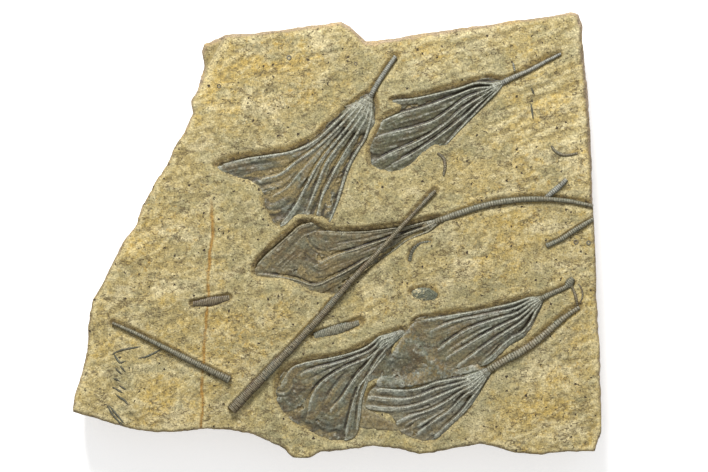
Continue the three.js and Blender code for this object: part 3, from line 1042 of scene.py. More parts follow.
class PlateTree:
    """Geometry Nodes that set plates along a path, as in a stem or an arm."""

    INPUTS: dict[str, tuple[str, object]] = {
        "Geometry": ("NodeSocketGeometry", None),
        "Plate": ("NodeSocketObject", None),
        "Pitch": ("NodeSocketFloat", 0.0012),
        "Overlap": ("NodeSocketFloat", 1.05),
        "Tilt": ("NodeSocketFloat", 0.03),
        "Uneven": ("NodeSocketFloat", 0.03),
        "Every": ("NodeSocketInt", 4),
        "Collar": ("NodeSocketFloat", 0.06),
        "Seed": ("NodeSocketInt", 1),
        "Finish": ("NodeSocketMaterial", None),
    }

    def __init__(self) -> None:
        """Builds the tree."""
        self.tree = bpy.data.node_groups.new("PlatesAlongPath", "GeometryNodeTree")
        for label, (kind, default) in self.INPUTS.items():
            socket = self.tree.interface.new_socket(label, in_out="INPUT", socket_type=kind)
            if default is not None:
                socket.default_value = default
        self.tree.interface.new_socket("Geometry", in_out="OUTPUT", socket_type="NodeSocketGeometry")
        g = Shader(self.tree)
        given = {socket.name: socket for socket in g.node("NodeGroupInput").outputs}
        curve = g.node("GeometryNodeMeshToCurve", {"Mesh": given["Geometry"]}).outputs[0]
        spacing = {"Curve": curve, "Length": given["Pitch"]}
        stations = g.node("GeometryNodeCurveToPoints", spacing, mode="LENGTH")
        align = "FunctionNodeAlignRotationToVector"
        heading = g.node(align, {"Vector": stations.outputs["Tangent"]}, axis="Z").outputs[0]
        upward = {"Rotation": heading, "Vector": (0.0, 0.0, 1.0)}
        upright = g.node(align, upward, axis="Y", pivot_axis="Z").outputs[0]
        lean = self._random(g, g.math("MULTIPLY", given["Tilt"], -1.0), given["Tilt"], given["Seed"], 1)
        leaning = {"Rotation": upright, "Rotate By": lean}
        turned = g.node("FunctionNodeRotateRotation", leaning, rotation_space="LOCAL").outputs[0]
        small = g.math("SUBTRACT", 1.0, given["Uneven"])
        swell = self._random(g, small, g.math("ADD", 1.0, given["Uneven"]), given["Seed"], 2)
        index = g.node("GeometryNodeInputIndex").outputs[0]
        collar = g.math("LESS_THAN", g.math("MODULO", index, given["Every"]), 0.5)
        wider = g.math("ADD", 1.0, g.math("MULTIPLY", collar, given["Collar"]))
        breadth, height = (
            g.math("MULTIPLY", self._named(g, label), wider) for label in ("breadth", "height")
        )
        length = g.math("MULTIPLY", given["Pitch"], given["Overlap"])
        size = g.node("ShaderNodeCombineXYZ", {0: breadth, 1: height, 2: length}).outputs[0]
        scale = g.node("ShaderNodeVectorMath", {0: size, 1: swell}, operation="MULTIPLY").outputs[0]
        plate = g.node("GeometryNodeObjectInfo", {"Object": given["Plate"]}).outputs["Geometry"]
        placed = g.node(
            "GeometryNodeInstanceOnPoints",
            {"Points": stations.outputs["Points"], "Instance": plate, "Rotation": turned, "Scale": scale},
        ).outputs[0]
        real = g.node("GeometryNodeRealizeInstances", {0: placed}).outputs[0]
        dressing = {"Geometry": real, "Material": given["Finish"]}
        dressed = g.node("GeometryNodeSetMaterial", dressing).outputs[0]
        leave = g.node("NodeGroupOutput")
        g.feed(leave.inputs[0], dressed)

    @staticmethod
    def _named(g: Shader, label: str) -> Socket:
        """A named float attribute of the path."""
        return g.node("GeometryNodeInputNamedAttribute", {"Name": label}, data_type="FLOAT").outputs[0]

    @staticmethod
    def _random(g: Shader, low: Socket, high: Socket, seed: Socket, salt: int) -> Socket:
        """Random vector between two numbers, with a seed of its own."""
        node = g.node("FunctionNodeRandomValue", data_type="FLOAT_VECTOR")
        for place, bound in ((0, low), (1, high)):
            packed = g.node("ShaderNodeCombineXYZ", {0: bound, 1: bound, 2: bound}).outputs[0]
            g.feed(node.inputs[place], packed)
        g.feed(node.inputs["Seed"], g.math("ADD", seed, float(salt)))
        return node.outputs[0]

    def lay(
        self,
        name: str,
        path: Array,
        plate: Piece,
        finish: Material,
        **values: float,
    ) -> Piece:
        """Sets plates along a path.

        Args:
            name: The piece's name.
            path: Rows of x, y, z, breadth and height, mm.
            plate: The plate's object.
            finish: Material of the plates.
            values: The tree's other inputs by name.

        Returns:
            The finished piece, with no modifier.
        """
        mesh = bpy.data.meshes.new(name)
        edges = [(i, i + 1) for i in range(len(path) - 1)]
        mesh.from_pydata((path[:, :3] * MM).tolist(), edges, [])
        for label, column in (("breadth", 3), ("height", 4)):
            layer = mesh.attributes.new(label, "FLOAT", "POINT")
            layer.data.foreach_set("value", (path[:, column] * MM).astype(np.float32))
        obj = bpy.data.objects.new(name, mesh)
        bpy.context.scene.collection.objects.link(obj)
        modifier = obj.modifiers.new("plates", "NODES")
        modifier.node_group = self.tree
        given = {"Plate": plate, "Finish": finish, **values}
        for item in self.tree.interface.items_tree:
            if item.in_out == "INPUT" and item.name in given:
                modifier[item.identifier] = given[item.name]
        graph = bpy.context.evaluated_depsgraph_get()
        plain = bpy.data.meshes.new_from_object(obj.evaluated_get(graph), depsgraph=graph)
        obj.modifiers.clear()
        obj.data = plain
        plain.polygons.foreach_set("use_smooth", np.ones(len(plain.polygons), bool))
        return obj


# ---- the fossils' ground plan


@dataclass
class Footprint:
    """Ground that a fossil covers, and how the stone round it was cleaned away.

    Args:
        line: Outline of a mat, or centreline of a stem, in plan.
        depth: How far the stone lies lower beside it, mm.
        reach: How far out the cleaned ground goes, mm.
        half: Half of a stem's breadth; None for an outline.
        floor: Depth under a mat, mm.
        dulling: How much greyer the ground near it is.
    """

    line: Array
    depth: float
    reach: float
    half: float | None = None
    floor: float = 0.0
    dulling: float = 0.3

    def around(self, plan: Array) -> tuple[Array, Array]:
        """Distance from the fossil's edge, negative inside it, and how far north of it a point is."""
        if self.half is not None:
            where = trace(plan, self.line)
            return where.off - self.half, smooth_step(where.north, -0.6, 0.6)
        where = trace(plan, closed(self.line))
        within = inside(plan, self.line)
        north = np.where(within, -where.north, where.north)
        return np.where(within, -where.off, where.off), smooth_step(north, -0.5, 0.6)


@dataclass
class Slab:
    """The matrix slab: an uneven bedding plane with cleaned ground round the fossils, and broken sides.

    Args:
        step: Width of a cell of the face, mm.
        middle: Place in plan that the sides are swept about.
        ledge_drop: Height of the step down at the upper left, mm.
        rim_drop: How much the face is worn down at its rim, mm.
        rim_reach: How far in that goes, mm.
        rim_inset: How far the rim lies inside the CAD outline, mm.
        back_inset: How much further it does at the far side, mm.
        chip_depth: Depth of the chips along the rim, mm.
        front_lip: How far the front edge juts out, mm.
        margin: Gap to the CAD box, mm.
        highest: Greatest height of the stone above the face, mm.
        soundings: Heights at which the CAD outline is read, mm.
        levels: Heights of the sides' rings, as shares of the face's height.
        footprints: The fossils' ground.
    """

    step: float = 0.9
    middle: tuple[float, float] = (10.0, -6.0)
    ledge_drop: float = 8.0
    rim_drop: float = 0.5
    rim_reach: float = 2.2
    rim_inset: float = 0.35
    back_inset: float = 1.5
    chip_depth: float = 0.9
    front_lip: float = 1.6
    margin: float = 0.3
    highest: float = 2.6
    soundings: tuple[float, ...] = (13.0, 17.0, 21.0, 25.5)
    levels: tuple[float, ...] = (0.985, 0.95, *(0.89 * i / 14 for i in range(14, -1, -1)))
    footprints: list[Footprint] = field(default_factory=list)

    def bedding(self, plan: Array) -> Array:
        """Height of the bedding plane with its ledge, before any roughness."""
        x, y = plan.T
        swell = 0.5 * np.sin(x / 41 + 0.7) * np.cos(y / 33) + 0.25 * np.sin((x + 2 * y) / 27)
        return FACE_LEVEL + swell - self.ledge_drop * smooth_step(self.beyond(plan), -0.8, 0.8)

    @staticmethod
    def beyond(plan: Array) -> Array:
        """How far points lie outside the ledge's edge at the upper left, mm."""
        x, y = plan.T
        return 0.894 * (-74 - x) + 0.447 * (y - 92) + 0.8 * Grain(5, 9.0).at(plan)

    def radii(self) -> PlanRule:
        """The CAD slab's widest outline as a radius for each angle about the middle."""
        solid = CadSolid.of("slab")
        tree = BVHTree.FromPolygons(solid.points.tolist(), solid.triangles.tolist())
        angles = np.linspace(-math.pi, math.pi, 1441)
        reach = np.zeros(len(angles))
        for height in self.soundings:
            centre = Vector((*self.middle, height))
            cast = [tree.ray_cast(centre, Vector((math.cos(a), math.sin(a), 0)))[3] for a in angles]
            reach = np.maximum(reach, cast)
        return lambda turn: np.interp(turn, angles, reach)

    def relief(self, plan: Array) -> tuple[Array, dict[Mark, Array]]:
        """Height of the face at points in plan, and its marks.

        Args:
            plan: (n, 2) points.

        Returns:
            Heights and marks.
        """
        halo, sunk, dull, stain, beside = (np.zeros(len(plan)) for _ in range(5))
        wander = Grain(11, 16.0, 3).at(plan)
        for print_ in self.footprints:
            low, high = print_.line.min(0) - 30, print_.line.max(0) + 30
            near = np.flatnonzero(((plan > low) & (plan < high)).all(1))
            away, north = print_.around(plan[near])
            reach = print_.reach * (0.55 + 0.55 * north) * (1 + 0.5 * wander[near])
            # cleaned ground round the fossil, made stronger on its north side as painted shade
            shade = (0.4 + 0.5 * north) * (1 - smooth_step(away / reach, 0.1, 1.0))
            wide = 1 - smooth_step(away / 26.0 + 0.3 * wander[near], 0.1, 1.0)
            dull[near] = np.maximum(dull[near], wide * print_.dulling)
            # dark seam at the fossil's edge: painted shade, strongest on the north side
            seam = (0.15 + 0.75 * north) * np.exp(-((np.maximum(away, 0.0) / 0.8) ** 2))
            stain[near] = np.maximum(stain[near], seam)
            halo[near] = np.maximum(halo[near], shade)
            depth = print_.depth * (0.5 + 0.5 * north) * (1 - smooth_step(away / reach, 0.05, 0.62))
            beside[near] = np.maximum(beside[near], 1 - smooth_step(away, 0.5, 4.0))
            if print_.half is None:
                depth = depth + print_.floor * smooth_step(-away, 1.0, 2.2)
            sunk[near] = np.maximum(sunk[near], depth)
        calm = 1 - 0.8 * beside
        broad = 0.45 * Grain(2, 34.0, 3).at(plan)
        lumps = 0.24 * Grain(3, 11.0, 4, 0.5).at(plan)
        flakes = Grain(4, 22.0, 4, 0.55, 2.2, 22.0).at(plan) * 2.2
        steps = 0.22 * (np.floor(flakes) + smooth_step(flakes - np.floor(flakes), 0.8, 1.0))
        x, y = plan.T
        corner = smooth_step(x + 0.6 * y, 70.0, 120.0) * smooth_step(y, 20.0, 60.0)
        strokes = Grain(6, 3.2, 2, 0.5, 7.0, 22.0).at(plan)
        height = self.bedding(plan) + broad + calm * (lumps + steps) + 0.2 * calm * corner * strokes
        crumbs = 0.07 * Grain(7, 4.2, 3, 0.75).at(plan) + 0.09 * Grain(10, 1.9, 1).at(plan)
        height += crumbs * (0.4 + 0.6 * calm)
        crack_x = -71 - 5.5 * smooth_step(y, 10.0, -109.0) + 0.7 * Grain(8, 12.0, 3).at(plan)
        crack = (1 - smooth_step(np.abs(x - crack_x), 0.3, 1.2)) * smooth_step(y, 24.0, 8.0)
        crack *= smooth_step(Grain(12, 8.0, 3).at(plan), -0.75, 0.0)
        ledge = self.beyond(plan)
        marks = {
            Mark.HALO: np.maximum(halo, 0.5 * smooth_step(ledge, -0.4, 0.6)),
            Mark.DULL: np.maximum(dull, smooth_step(ledge, -0.4, 0.6)),
            Mark.STAIN: np.maximum(stain, 0.7 * np.exp(-(((ledge + 0.9) / 0.6) ** 2))),
            Mark.CRACK: 0.95 * crack,
            Mark.STREAK: self._streaks(plan),
            Mark.RAKED: corner * smooth_step(strokes, 0.1, 0.8) * calm,
        }
        return height - sunk - 0.25 * crack, marks

    @staticmethod
    def _streaks(plan: Array) -> Array:
        """Iron stains drawn out along the bedding."""
        total = np.zeros(len(plan))
        torn = Grain(9, 7.0, 4, 0.6, 2.0, 20.0).at(plan)
        for x, y, long, wide, heading in (
            (95, -10, 26, 6, 20),
            (116, 74, 24, 8, 40),
            (118, -98, 22, 9, 10),
            (-58, 90, 20, 8, 30),
            (-30, 95, 16, 6, 10),
            (-100, -92, 22, 9, 60),
        ):
            turn = math.radians(heading)
            dx, dy = plan[:, 0] - x, plan[:, 1] - y
            u = (dx * math.cos(turn) + dy * math.sin(turn)) / long
            v = (dy * math.cos(turn) - dx * math.sin(turn)) / wide
            total = np.maximum(total, smooth_step(np.hypot(u, v) + 0.45 * torn, 1.0, 0.45))
        return 0.75 * total

    def _turn_of(self, plan: Array) -> Array:
        """Direction of points from the middle, radians."""
        return np.arctan2(plan[:, 1] - self.middle[1], plan[:, 0] - self.middle[0])

    def _lip(self, north: Array) -> Array:
        """How far the front edge juts out, for the sine of each direction."""
        return self.front_lip * smooth_step(-north, 0.3, 0.7)

    def _rim(self, turn: Array, radius: PlanRule) -> Array:
        """Radius of the face's edge, chipped all round and set back at the far side."""
        ring = np.array(self.middle) + radius(turn)[:, None] * np.column_stack([np.cos(turn), np.sin(turn)])
        back = smooth_step(np.sin(turn) + 0.25 * np.cos(turn), 0.35, 0.75)
        chips = np.abs(Grain(21, 7.0, 3, 0.6).at(ring))
        set_back = self.rim_inset, self.back_inset * back, self.chip_depth * chips
        return radius(turn) - set_back[0] - set_back[1] - set_back[2] + self._lip(np.sin(turn))

    def build(self, finish: Material) -> Piece:
        """Makes the slab."""
        radius = self.radii()
        centre = np.array(self.middle)
        corners = [np.array(corner)[:2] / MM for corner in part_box("slab")]
        least, most = corners[0] + self.margin, corners[1] - self.margin

        def from_rim(plan: Array) -> Array:
            """How far points lie inside the rim, mm."""
            return self._rim(self._turn_of(plan), radius) - np.hypot(*(plan - centre).T)

        def holds(plan: Array) -> Array:
            """Whether points lie on the face."""
            return (from_rim(plan) > 0) & ((plan > least) & (plan < most)).all(1)

        circle = np.linspace(-math.pi, math.pi, 2881)
        spokes = np.column_stack([np.cos(circle), np.sin(circle)])
        outline = np.clip(centre + self._rim(circle, radius)[:, None] * spokes, least, most)
        patch = Patch.cut(*corners, self.step, holds, lambda plan: drawn_onto(plan, outline))
        height, marks = self.relief(patch.plan)
        gap = from_rim(patch.plan)
        height -= self.rim_drop * (1 - smooth_step(gap, 0.0, self.rim_reach)) ** 2
        height = np.minimum(height, FACE_LEVEL + self.highest)
        walls = self._walls(patch.plan[patch.border], height[patch.border], radius, (least, most))
        points, faces = patch.closed_below(height, walls)
        below = len(points) - len(patch.plan)
        # painted highlight and shade from the face's own relief
        marks |= patch.cavity(height, 2, 0.14)
        marks = {mark: np.concatenate([values, np.zeros(below)]) for mark, values in marks.items()}
        marks[Mark.SIDE] = np.concatenate([0.5 * (1 - smooth_step(gap, 0.0, 0.9)), np.ones(below)])
        return make_piece("slab_surface", points, faces, finish, marks)

    def _walls(
        self,
        edge: Array,
        top: Array,
        radius: PlanRule,
        bounds: tuple[Array, Array],
    ) -> list[Array]:
        """Makes the broken, layered sides.

        Args:
            edge: The face's border in plan.
            top: Its heights.
            radius: The CAD outline's radius for each angle.
            bounds: Least and greatest x and y.

        Returns:
            A ring of (n, 3) points for each level, from the top down.
        """
        turn = np.unwrap(self._turn_of(edge))
        turn = np.minimum(np.maximum.accumulate(turn), turn[0] + 2 * math.pi - 1e-3)
        turn += np.linspace(0, 1e-3, len(turn))
        heading = np.column_stack([np.cos(turn), np.sin(turn)])
        front = smooth_step(-heading[:, 1], 0.2, 0.8)
        widest = radius(np.arctan2(heading[:, 1], heading[:, 0])) + self._lip(heading[:, 1])
        face_reach = np.hypot(*(edge - np.array(self.middle)).T)
        walls = []
        for level in self.levels:
            swept = np.column_stack([edge[:, 0] + edge[:, 1], level * top * 2.2])
            fine = np.abs(Grain(32, 2.6, 2, 0.6).at(swept))
            ragged = np.abs(Grain(31, 11.0, 4, 0.6).at(swept)) + 0.5 * fine
            layer = np.column_stack([0.12 * swept[:, 0], level * top])
            ragged = 0.7 * ragged + 1.1 * smooth_step(Grain(33, 5.0, 3, 0.6).at(layer), -0.35, 0.35)
            height = np.full(len(edge), level)
            under = (2.0 + 3.0 * front) * (1 - level) ** 2
            out = widest - under - 0.9 * ragged * smooth_step(height, 1.0, 0.8)
            keep = smooth_step(1 - height, 0.0, 0.1)
            out = out * keep + face_reach * (1 - keep)
            ring = np.clip(np.array(self.middle) + out[:, None] * heading, *bounds)
            walls.append(np.column_stack([ring, level * top]))
        return walls


# ---- crowns


@dataclass
class Ridge:
    """A ridge on a crown's mat: an arm, or a fold between two arms.

    Args:
        line: (n, 2) centreline in plan, from the cup outwards.
        crest: Height above the mat's floor at the cup's end, mm.
        tip: Height at the far end, mm.
        sheet: How far the side branches spread on its left, mm.
        lip: How far they spread on its right, mm.
        fall: Share of the height lost across the sheet.
        cut: Strength of the groove on its right.
    """

    line: Array
    crest: float = 2.1
    tip: float = 1.3
    sheet: float = 11.0
    lip: float = 1.3
    fall: float = 0.7
    cut: float = 1.0

    def height(self, where: Trace, ripple: Array) -> Array:
        """Height of this ridge's sheet above the mat's floor."""
        top = self.crest + (self.tip - self.crest) * where.along**0.8
        sheet = self.sheet * (0.35 + 0.65 * smooth_step(where.along, 0.0, 0.45)) * (1 + 0.12 * ripple)
        out = where.off / sheet
        slope = 1 - self.fall * np.minimum(out, 1.0) ** 0.85
        left = slope * (1 - smooth_step(out, 0.93, 1.08))
        right = 1 - smooth_step(where.off, 0.25, self.lip)
        return top * np.where(where.left, left, right)


@dataclass
class Fold:
    """A fold of the mat between two neighbouring arms.

    Args:
        first: Number of the arm on its right.
        second: Number of the arm on its left.
        share: Place between them, 0 at the first.
        span: Start and end along the arms, as shares of their length.
        sheet: How far its own sheet spreads, mm.
        crest: Height at its start, mm.
    """

    first: int
    second: int
    share: float = 0.5
    span: tuple[float, float] = (0.3, 0.95)
    sheet: float = 7.0
    crest: float = 1.5

    def ridge(self, arms: Sequence[Array]) -> Ridge:
        """The fold as a ridge."""
        t = np.linspace(*self.span, 24)
        sides = arms[self.first - 1], arms[self.second - 1]
        a, b = (line[(t * (len(line) - 1)).astype(int), :2] for line in sides)
        return Ridge(a + (b - a) * self.share, self.crest, 0.7 * self.crest, self.sheet, 0.9, 0.6, 0.55)


@dataclass
class Crown:
    """One crinoid's crown: its cup, arms and the mat of side branches between them.

    Args:
        name: The crinoid's name.
        sheets: How far each arm's side branches spread, mm.
        folds: Folds of the mat.
        fill: Gaps between arms that get folds by rule.
        bare_share: How much matrix shows between the arms.
        sink: How much deeper it lies than its neighbours, mm.
        cup_spread: How much the cup widens towards the arms.
        tall: Height of the arms above the mat's floor, mm.
        frayed: How far the mat's margin sinks into the ground.
        sandy: How much matrix still clings to the outer part of the mat.
        carve: Depth of the grooves beside the arms.
        arm_share: Breadth of the arms' plates over that of the CAD arms.
        arm_end: Breadth near an arm's end over that in its middle.
        shade: How dark its mat is.
    """

    name: str
    sheets: tuple[float, ...]
    folds: tuple[Fold, ...] = ()
    fill: tuple[int, ...] = ()
    bare_share: float = 0.2
    sink: float = 0.0
    cup_spread: float = 1.1
    tall: float = 2.1
    frayed: float = 0.4
    sandy: float = 0.35
    carve: float = 1.0
    arm_share: float = 0.6
    arm_end: float = 0.75
    shade: Shade = Shade.PLAIN
    seed: int = 1
    step: float = 0.34
    cup: Array = field(init=False)
    arms: list[Array] = field(init=False)
    outline: Array = field(init=False)
    ridges: list[Ridge] = field(init=False)

    def __post_init__(self) -> None:
        """Reads the crown's lines from the CAD solids."""
        fan = CadSolid.of(f"{self.name}_pinnules").top_outline()
        cup = CadSolid.of(f"{self.name}_cup").sections()
        if cup[0, 4] > cup[-1, 4]:
            cup = cup[::-1]
        self.cup = flowing(cup, 0.5)
        self.outline = flowing(closed(fan), 0.8)[:-1]
        rim = self.cup[-1, :2]
        self.arms = [route_of(f"{self.name}_arm_{i + 1}", rim) for i in range(len(self.sheets))]
        self.ridges = [
            Ridge(line[:, :2], self.tall, 0.62 * self.tall, sheet)
            for line, sheet in zip(self.arms, self.sheets)
        ]
        self.ridges += [fold.ridge(self.arms) for fold in (*self.folds, *self._filling())]

    def _filling(self) -> list[Fold]:
        """Folds by rule, about 3 mm apart, in every gap between neighbouring arms."""
        folds, rng = [], np.random.default_rng(500 + self.seed)
        for i in (gap - 1 for gap in self.fill):
            a, b = (line[int(0.75 * (len(line) - 1)), :2] for line in self.arms[i : i + 2])
            count = min(3, int(np.hypot(*(b - a)) / 3.4) - 1)
            for k in range(count):
                share = (k + 1 + rng.uniform(-0.22, 0.22)) / (count + 1)
                span = (rng.uniform(0.2, 0.5), rng.uniform(0.82, 0.99))
                sheet, crest = rng.uniform(2.5, 4.5), rng.uniform(1.0, 1.6)
                folds.append(Fold(i + 1, i + 2, share, span, sheet, crest))
        return folds

    @property
    def floor(self) -> float:
        """Height of the mat's floor."""
        return FACE_LEVEL - 1.75 - self.sink

    def cup_height(self, plan: Array) -> Array:
        """Height of the cup's dome above the mat's floor, 0 away from it."""
        where = trace(plan, self.cup[:, :2])
        half = 0.5 * np.interp(where.along, np.linspace(0, 1, len(self.cup)), self.cup[:, 4])
        half *= 1 + (self.cup_spread - 1) * where.along
        share = np.clip(where.off / half, 0, 1)
        return (1.5 + 1.1 * where.along) * np.sqrt(1 - share**2) * (where.off < half)

    def relief(self, plan: Array) -> tuple[Array, dict[Mark, Array]]:
        """Height of the mat at points in plan, and its marks."""
        best = np.full(len(plan), -1.0)
        along, across, crest = (np.zeros(len(plan)) for _ in range(3))
        ripple = Grain(40 + self.seed, 9.0, 3).at(plan)
        groove = np.zeros(len(plan))
        for ridge in self.ridges:
            where = trace(plan, ridge.line)
            height = ridge.height(where, ripple)
            wins = height > best
            best = np.where(wins, height, best)
            length = np.hypot(*np.diff(ridge.line, axis=0).T).sum()
            along = np.where(wins, where.along * length, along)
            across = np.where(wins, where.off * np.where(where.left, 1, -1), across)
            crest = np.where(wins, np.exp(-((where.off / 0.9) ** 2)), crest)
            cut = np.exp(-(((where.off - 1.35) / 0.6) ** 2)) * ~where.left * ridge.cut
            cut *= smooth_step(where.along, 0.0, 0.12) * smooth_step(where.along, 1.0, 0.8)
            groove = np.maximum(groove, cut)
        branched = smooth_step(best, 0.0, 0.4)
        edge = trace(plan, closed(self.outline)).off
        torn = Grain(50 + self.seed, 6.5, 4, 0.6).at(plan)
        cloth = 0.62 + 0.3 * ripple + 0.2 * torn
        cloth *= 1 - self.frayed * (1 - smooth_step(edge - 0.7 * (1 + torn), -0.3, 2.6))
        open_ground = smooth_step(torn + 0.35 * ripple, 0.62 - self.bare_share, 0.85 - self.bare_share)
        cloth *= 1 - open_ground
        dome = self.cup_height(plan)
        groove *= self.carve * np.clip(1 + 0.5 * torn, 0.3, 1.2) * (dome <= 0)
        best = np.maximum(best, cloth)
        bare = (1 - smooth_step(best, 0.1, 0.35)) * (1 - groove) * (dome <= 0)
        best = np.maximum(best - 0.7 * groove, dome)
        flow = np.column_stack([along, across])
        pleats = (1 - 2 * np.abs(Grain(60 + self.seed, 3.1, 2, 0.6, 9.0).at(flow))) * (1 - crest)
        ribs = np.sin((along - 1.9 * np.abs(across)) * 2 * math.pi / 1.2 + 0.6 * ripple)
        grain = 0.16 * Grain(70 + self.seed, 3.0, 3, 0.7).at(plan)
        fine = branched * (0.24 * pleats + 0.05 * ribs) + (1 - branched) * 0.2 * torn
        best = best + (1 - bare) * (fine + grain) + bare * (0.12 * ripple + 0.5 * grain)
        rim = smooth_step(edge, 0.0, 0.9)
        height = self.floor - 0.55 + rim * (np.maximum(best, -0.2) + 0.55)
        outer = smooth_step(np.hypot(*(plan - self.cup[-1, :2]).T) + 9 * torn, 14.0, 34.0)
        stripes = Grain(90 + self.seed, 4.5, 3, 0.6, 6.0).at(flow)
        stripes = stripes + 0.7 * Grain(95 + self.seed, 14.0, 2).at(plan)
        cling = self.sandy * outer * smooth_step(stripes, -0.3, 0.6)
        cling *= 1 - smooth_step(best, 0.9, 1.5)
        marks = {
            # painted highlights along the ridges; painted shade on the mat's low parts and in the carved
            # grooves
            Mark.CREST: 0.55 * crest * smooth_step(best, 0.6, 1.4),
            Mark.DEEP: np.maximum(0.5 * (1 - smooth_step(best, 0.3, 1.0)) * (1 - bare), 0.8 * groove),
            Mark.BARE: np.maximum(np.maximum(bare, cling), 1 - smooth_step(edge, 0.1, 0.7)),
        }
        return height, marks

    def build_mat(self, finish: Material) -> Piece:
        """Makes the mat of side branches."""
        patch = Patch.cut_to(self.outline, self.step)
        height, marks = self.relief(patch.plan)
        # painted highlight and shade from the mat's own relief
        for mark, values in patch.cavity(height, 4, 0.5).items():
            marks[mark] = np.maximum(marks[mark], values)
        base = np.full(len(patch.border), self.floor - 1.4)
        return patch.sheet(f"{self.name}_mat", height, base, finish, marks)

    def build_cup(self, finish: Material) -> Piece:
        """Makes the plated cup."""
        along = np.linspace(0, 1, 46)
        around = np.linspace(0, 1, 41)
        centre = flowing(self.cup, 0.05)
        rows = centre[(along * (len(centre) - 1)).round().astype(int)]
        ahead = np.gradient(rows[:, :2], axis=0)
        ahead /= np.hypot(*ahead.T)[:, None]
        side = np.column_stack([-ahead[:, 1], ahead[:, 0]])
        u, v = np.meshgrid(around, along)
        count = 2.6 + 2.0 * v
        tiers = 4.0
        tier = np.floor(v * tiers)
        upright = np.abs(np.sin(math.pi * (u * count + 0.5 * tier)))
        seam = np.minimum(upright, 1.4 * np.abs(np.sin(math.pi * v * tiers)))
        plate = smooth_step(seam, 0.0, 0.45)
        angle = math.pi * u
        half = 0.5 * rows[:, 4][:, None] * (1 + (self.cup_spread - 1) * v)
        tall = (1.75 + 1.2 * v) * (0.9 + 0.1 * plate)
        reach = half * np.cos(angle) * (0.96 + 0.04 * plate)
        x = rows[:, 0][:, None] + side[:, 0][:, None] * reach
        y = rows[:, 1][:, None] + side[:, 1][:, None] * reach
        z = self.floor + tall * np.sin(angle) ** 0.8 * (1 - 0.45 * smooth_step(v, 0.86, 1.0))
        z += 0.06 * Grain(80 + self.seed, 1.4, 2).at(np.column_stack([x.ravel(), y.ravel()])).reshape(z.shape)
        points = np.column_stack([x.ravel(), y.ravel(), z.ravel()])
        rows_n, cols_n = u.shape
        cell = [r * cols_n + c for r in range(rows_n - 1) for c in range(cols_n - 1)]
        faces: Faces = [(a, a + cols_n, a + cols_n + 1, a + 1) for a in cell]
        border = [*range(cols_n), *[r * cols_n + cols_n - 1 for r in range(1, rows_n)]]
        border += [*range(rows_n * cols_n - 2, (rows_n - 1) * cols_n - 1, -1)]
        border += [r * cols_n for r in range(rows_n - 2, 0, -1)]
        base = points[border].copy()
        base[:, 2] = self.floor - 1.2
        start = len(points)
        size = len(border)
        for k in range(size):
            n = (k + 1) % size
            faces.append((border[k], border[n], start + n, start + k))
        faces.append([start + k for k in range(size)])
        points = np.vstack([points, base])
        # painted highlight on the upward-facing plates, darker in the seams between them
        shine = plate * smooth_step(np.sin(angle), 0.2, 0.9) * 0.55
        crest = np.concatenate([shine.ravel(), np.zeros(size)])
        deep = np.concatenate([(0.45 * (1 - plate)).ravel(), np.ones(size)])
        marks = {Mark.CREST: crest, Mark.DEEP: deep}
        return make_piece(f"{self.name}_calyx", points, faces, finish, marks)

    def arm_path(self, index: int) -> Array:
        """Path of an arm's plates, from its root on the cup to its tip."""
        line = self.arms[index]
        start = line[0, :2]
        spine = self.cup[:, :2]
        gap = start - spine[-1]
        root = spine[int(0.35 * (len(spine) - 1))] + 0.45 * gap
        mid = spine[int(0.75 * (len(spine) - 1))] + 0.8 * gap
        plan = flowing(np.vstack([root, mid, line[:: max(1, len(line) // 14), :2], line[-1:, :2]]), 0.5)
        height, _ = self.relief(plan)
        dome = self.floor + self.cup_height(plan) * 1.12
        share = np.linspace(0, 1, len(plan))
        patchiness = Grain(100 + 10 * self.seed + index, 9.0, 3).at(plan)
        profile = [0.8, 1.1, 1.0, self.arm_end, 0.4 * self.arm_end]
        breadth = self.arm_share * np.interp(share, [0, 0.12, 0.3, 0.8, 1], profile) * line[:, 4].max()
        breadth *= 1 + 0.16 * patchiness
        tall = 1.6 * np.interp(share, [0, 0.2, 0.7, 1], [0.8, 1, 0.8, 0.45])
        crest = np.maximum(height, dome)
        crest = np.convolve(np.pad(crest, 4, "edge"), np.ones(9) / 9, "valid")
        lift = np.interp(share, [0, 0.15, 0.8, 1], [0.1, 0.4, 0.12, -0.25]) + 0.14 * patchiness
        return np.column_stack([plan, crest + lift - tall, breadth, tall])

    def footprint(self) -> Footprint:
        """The ground that the crown covers."""
        depth, reach, floor = 1.0 + 0.15 * self.sink, 3.2 - 0.2 * self.sink, 1.6 + 0.75 * self.sink
        return Footprint(self.outline, depth, reach, None, floor, 1.0)


# ---- stems


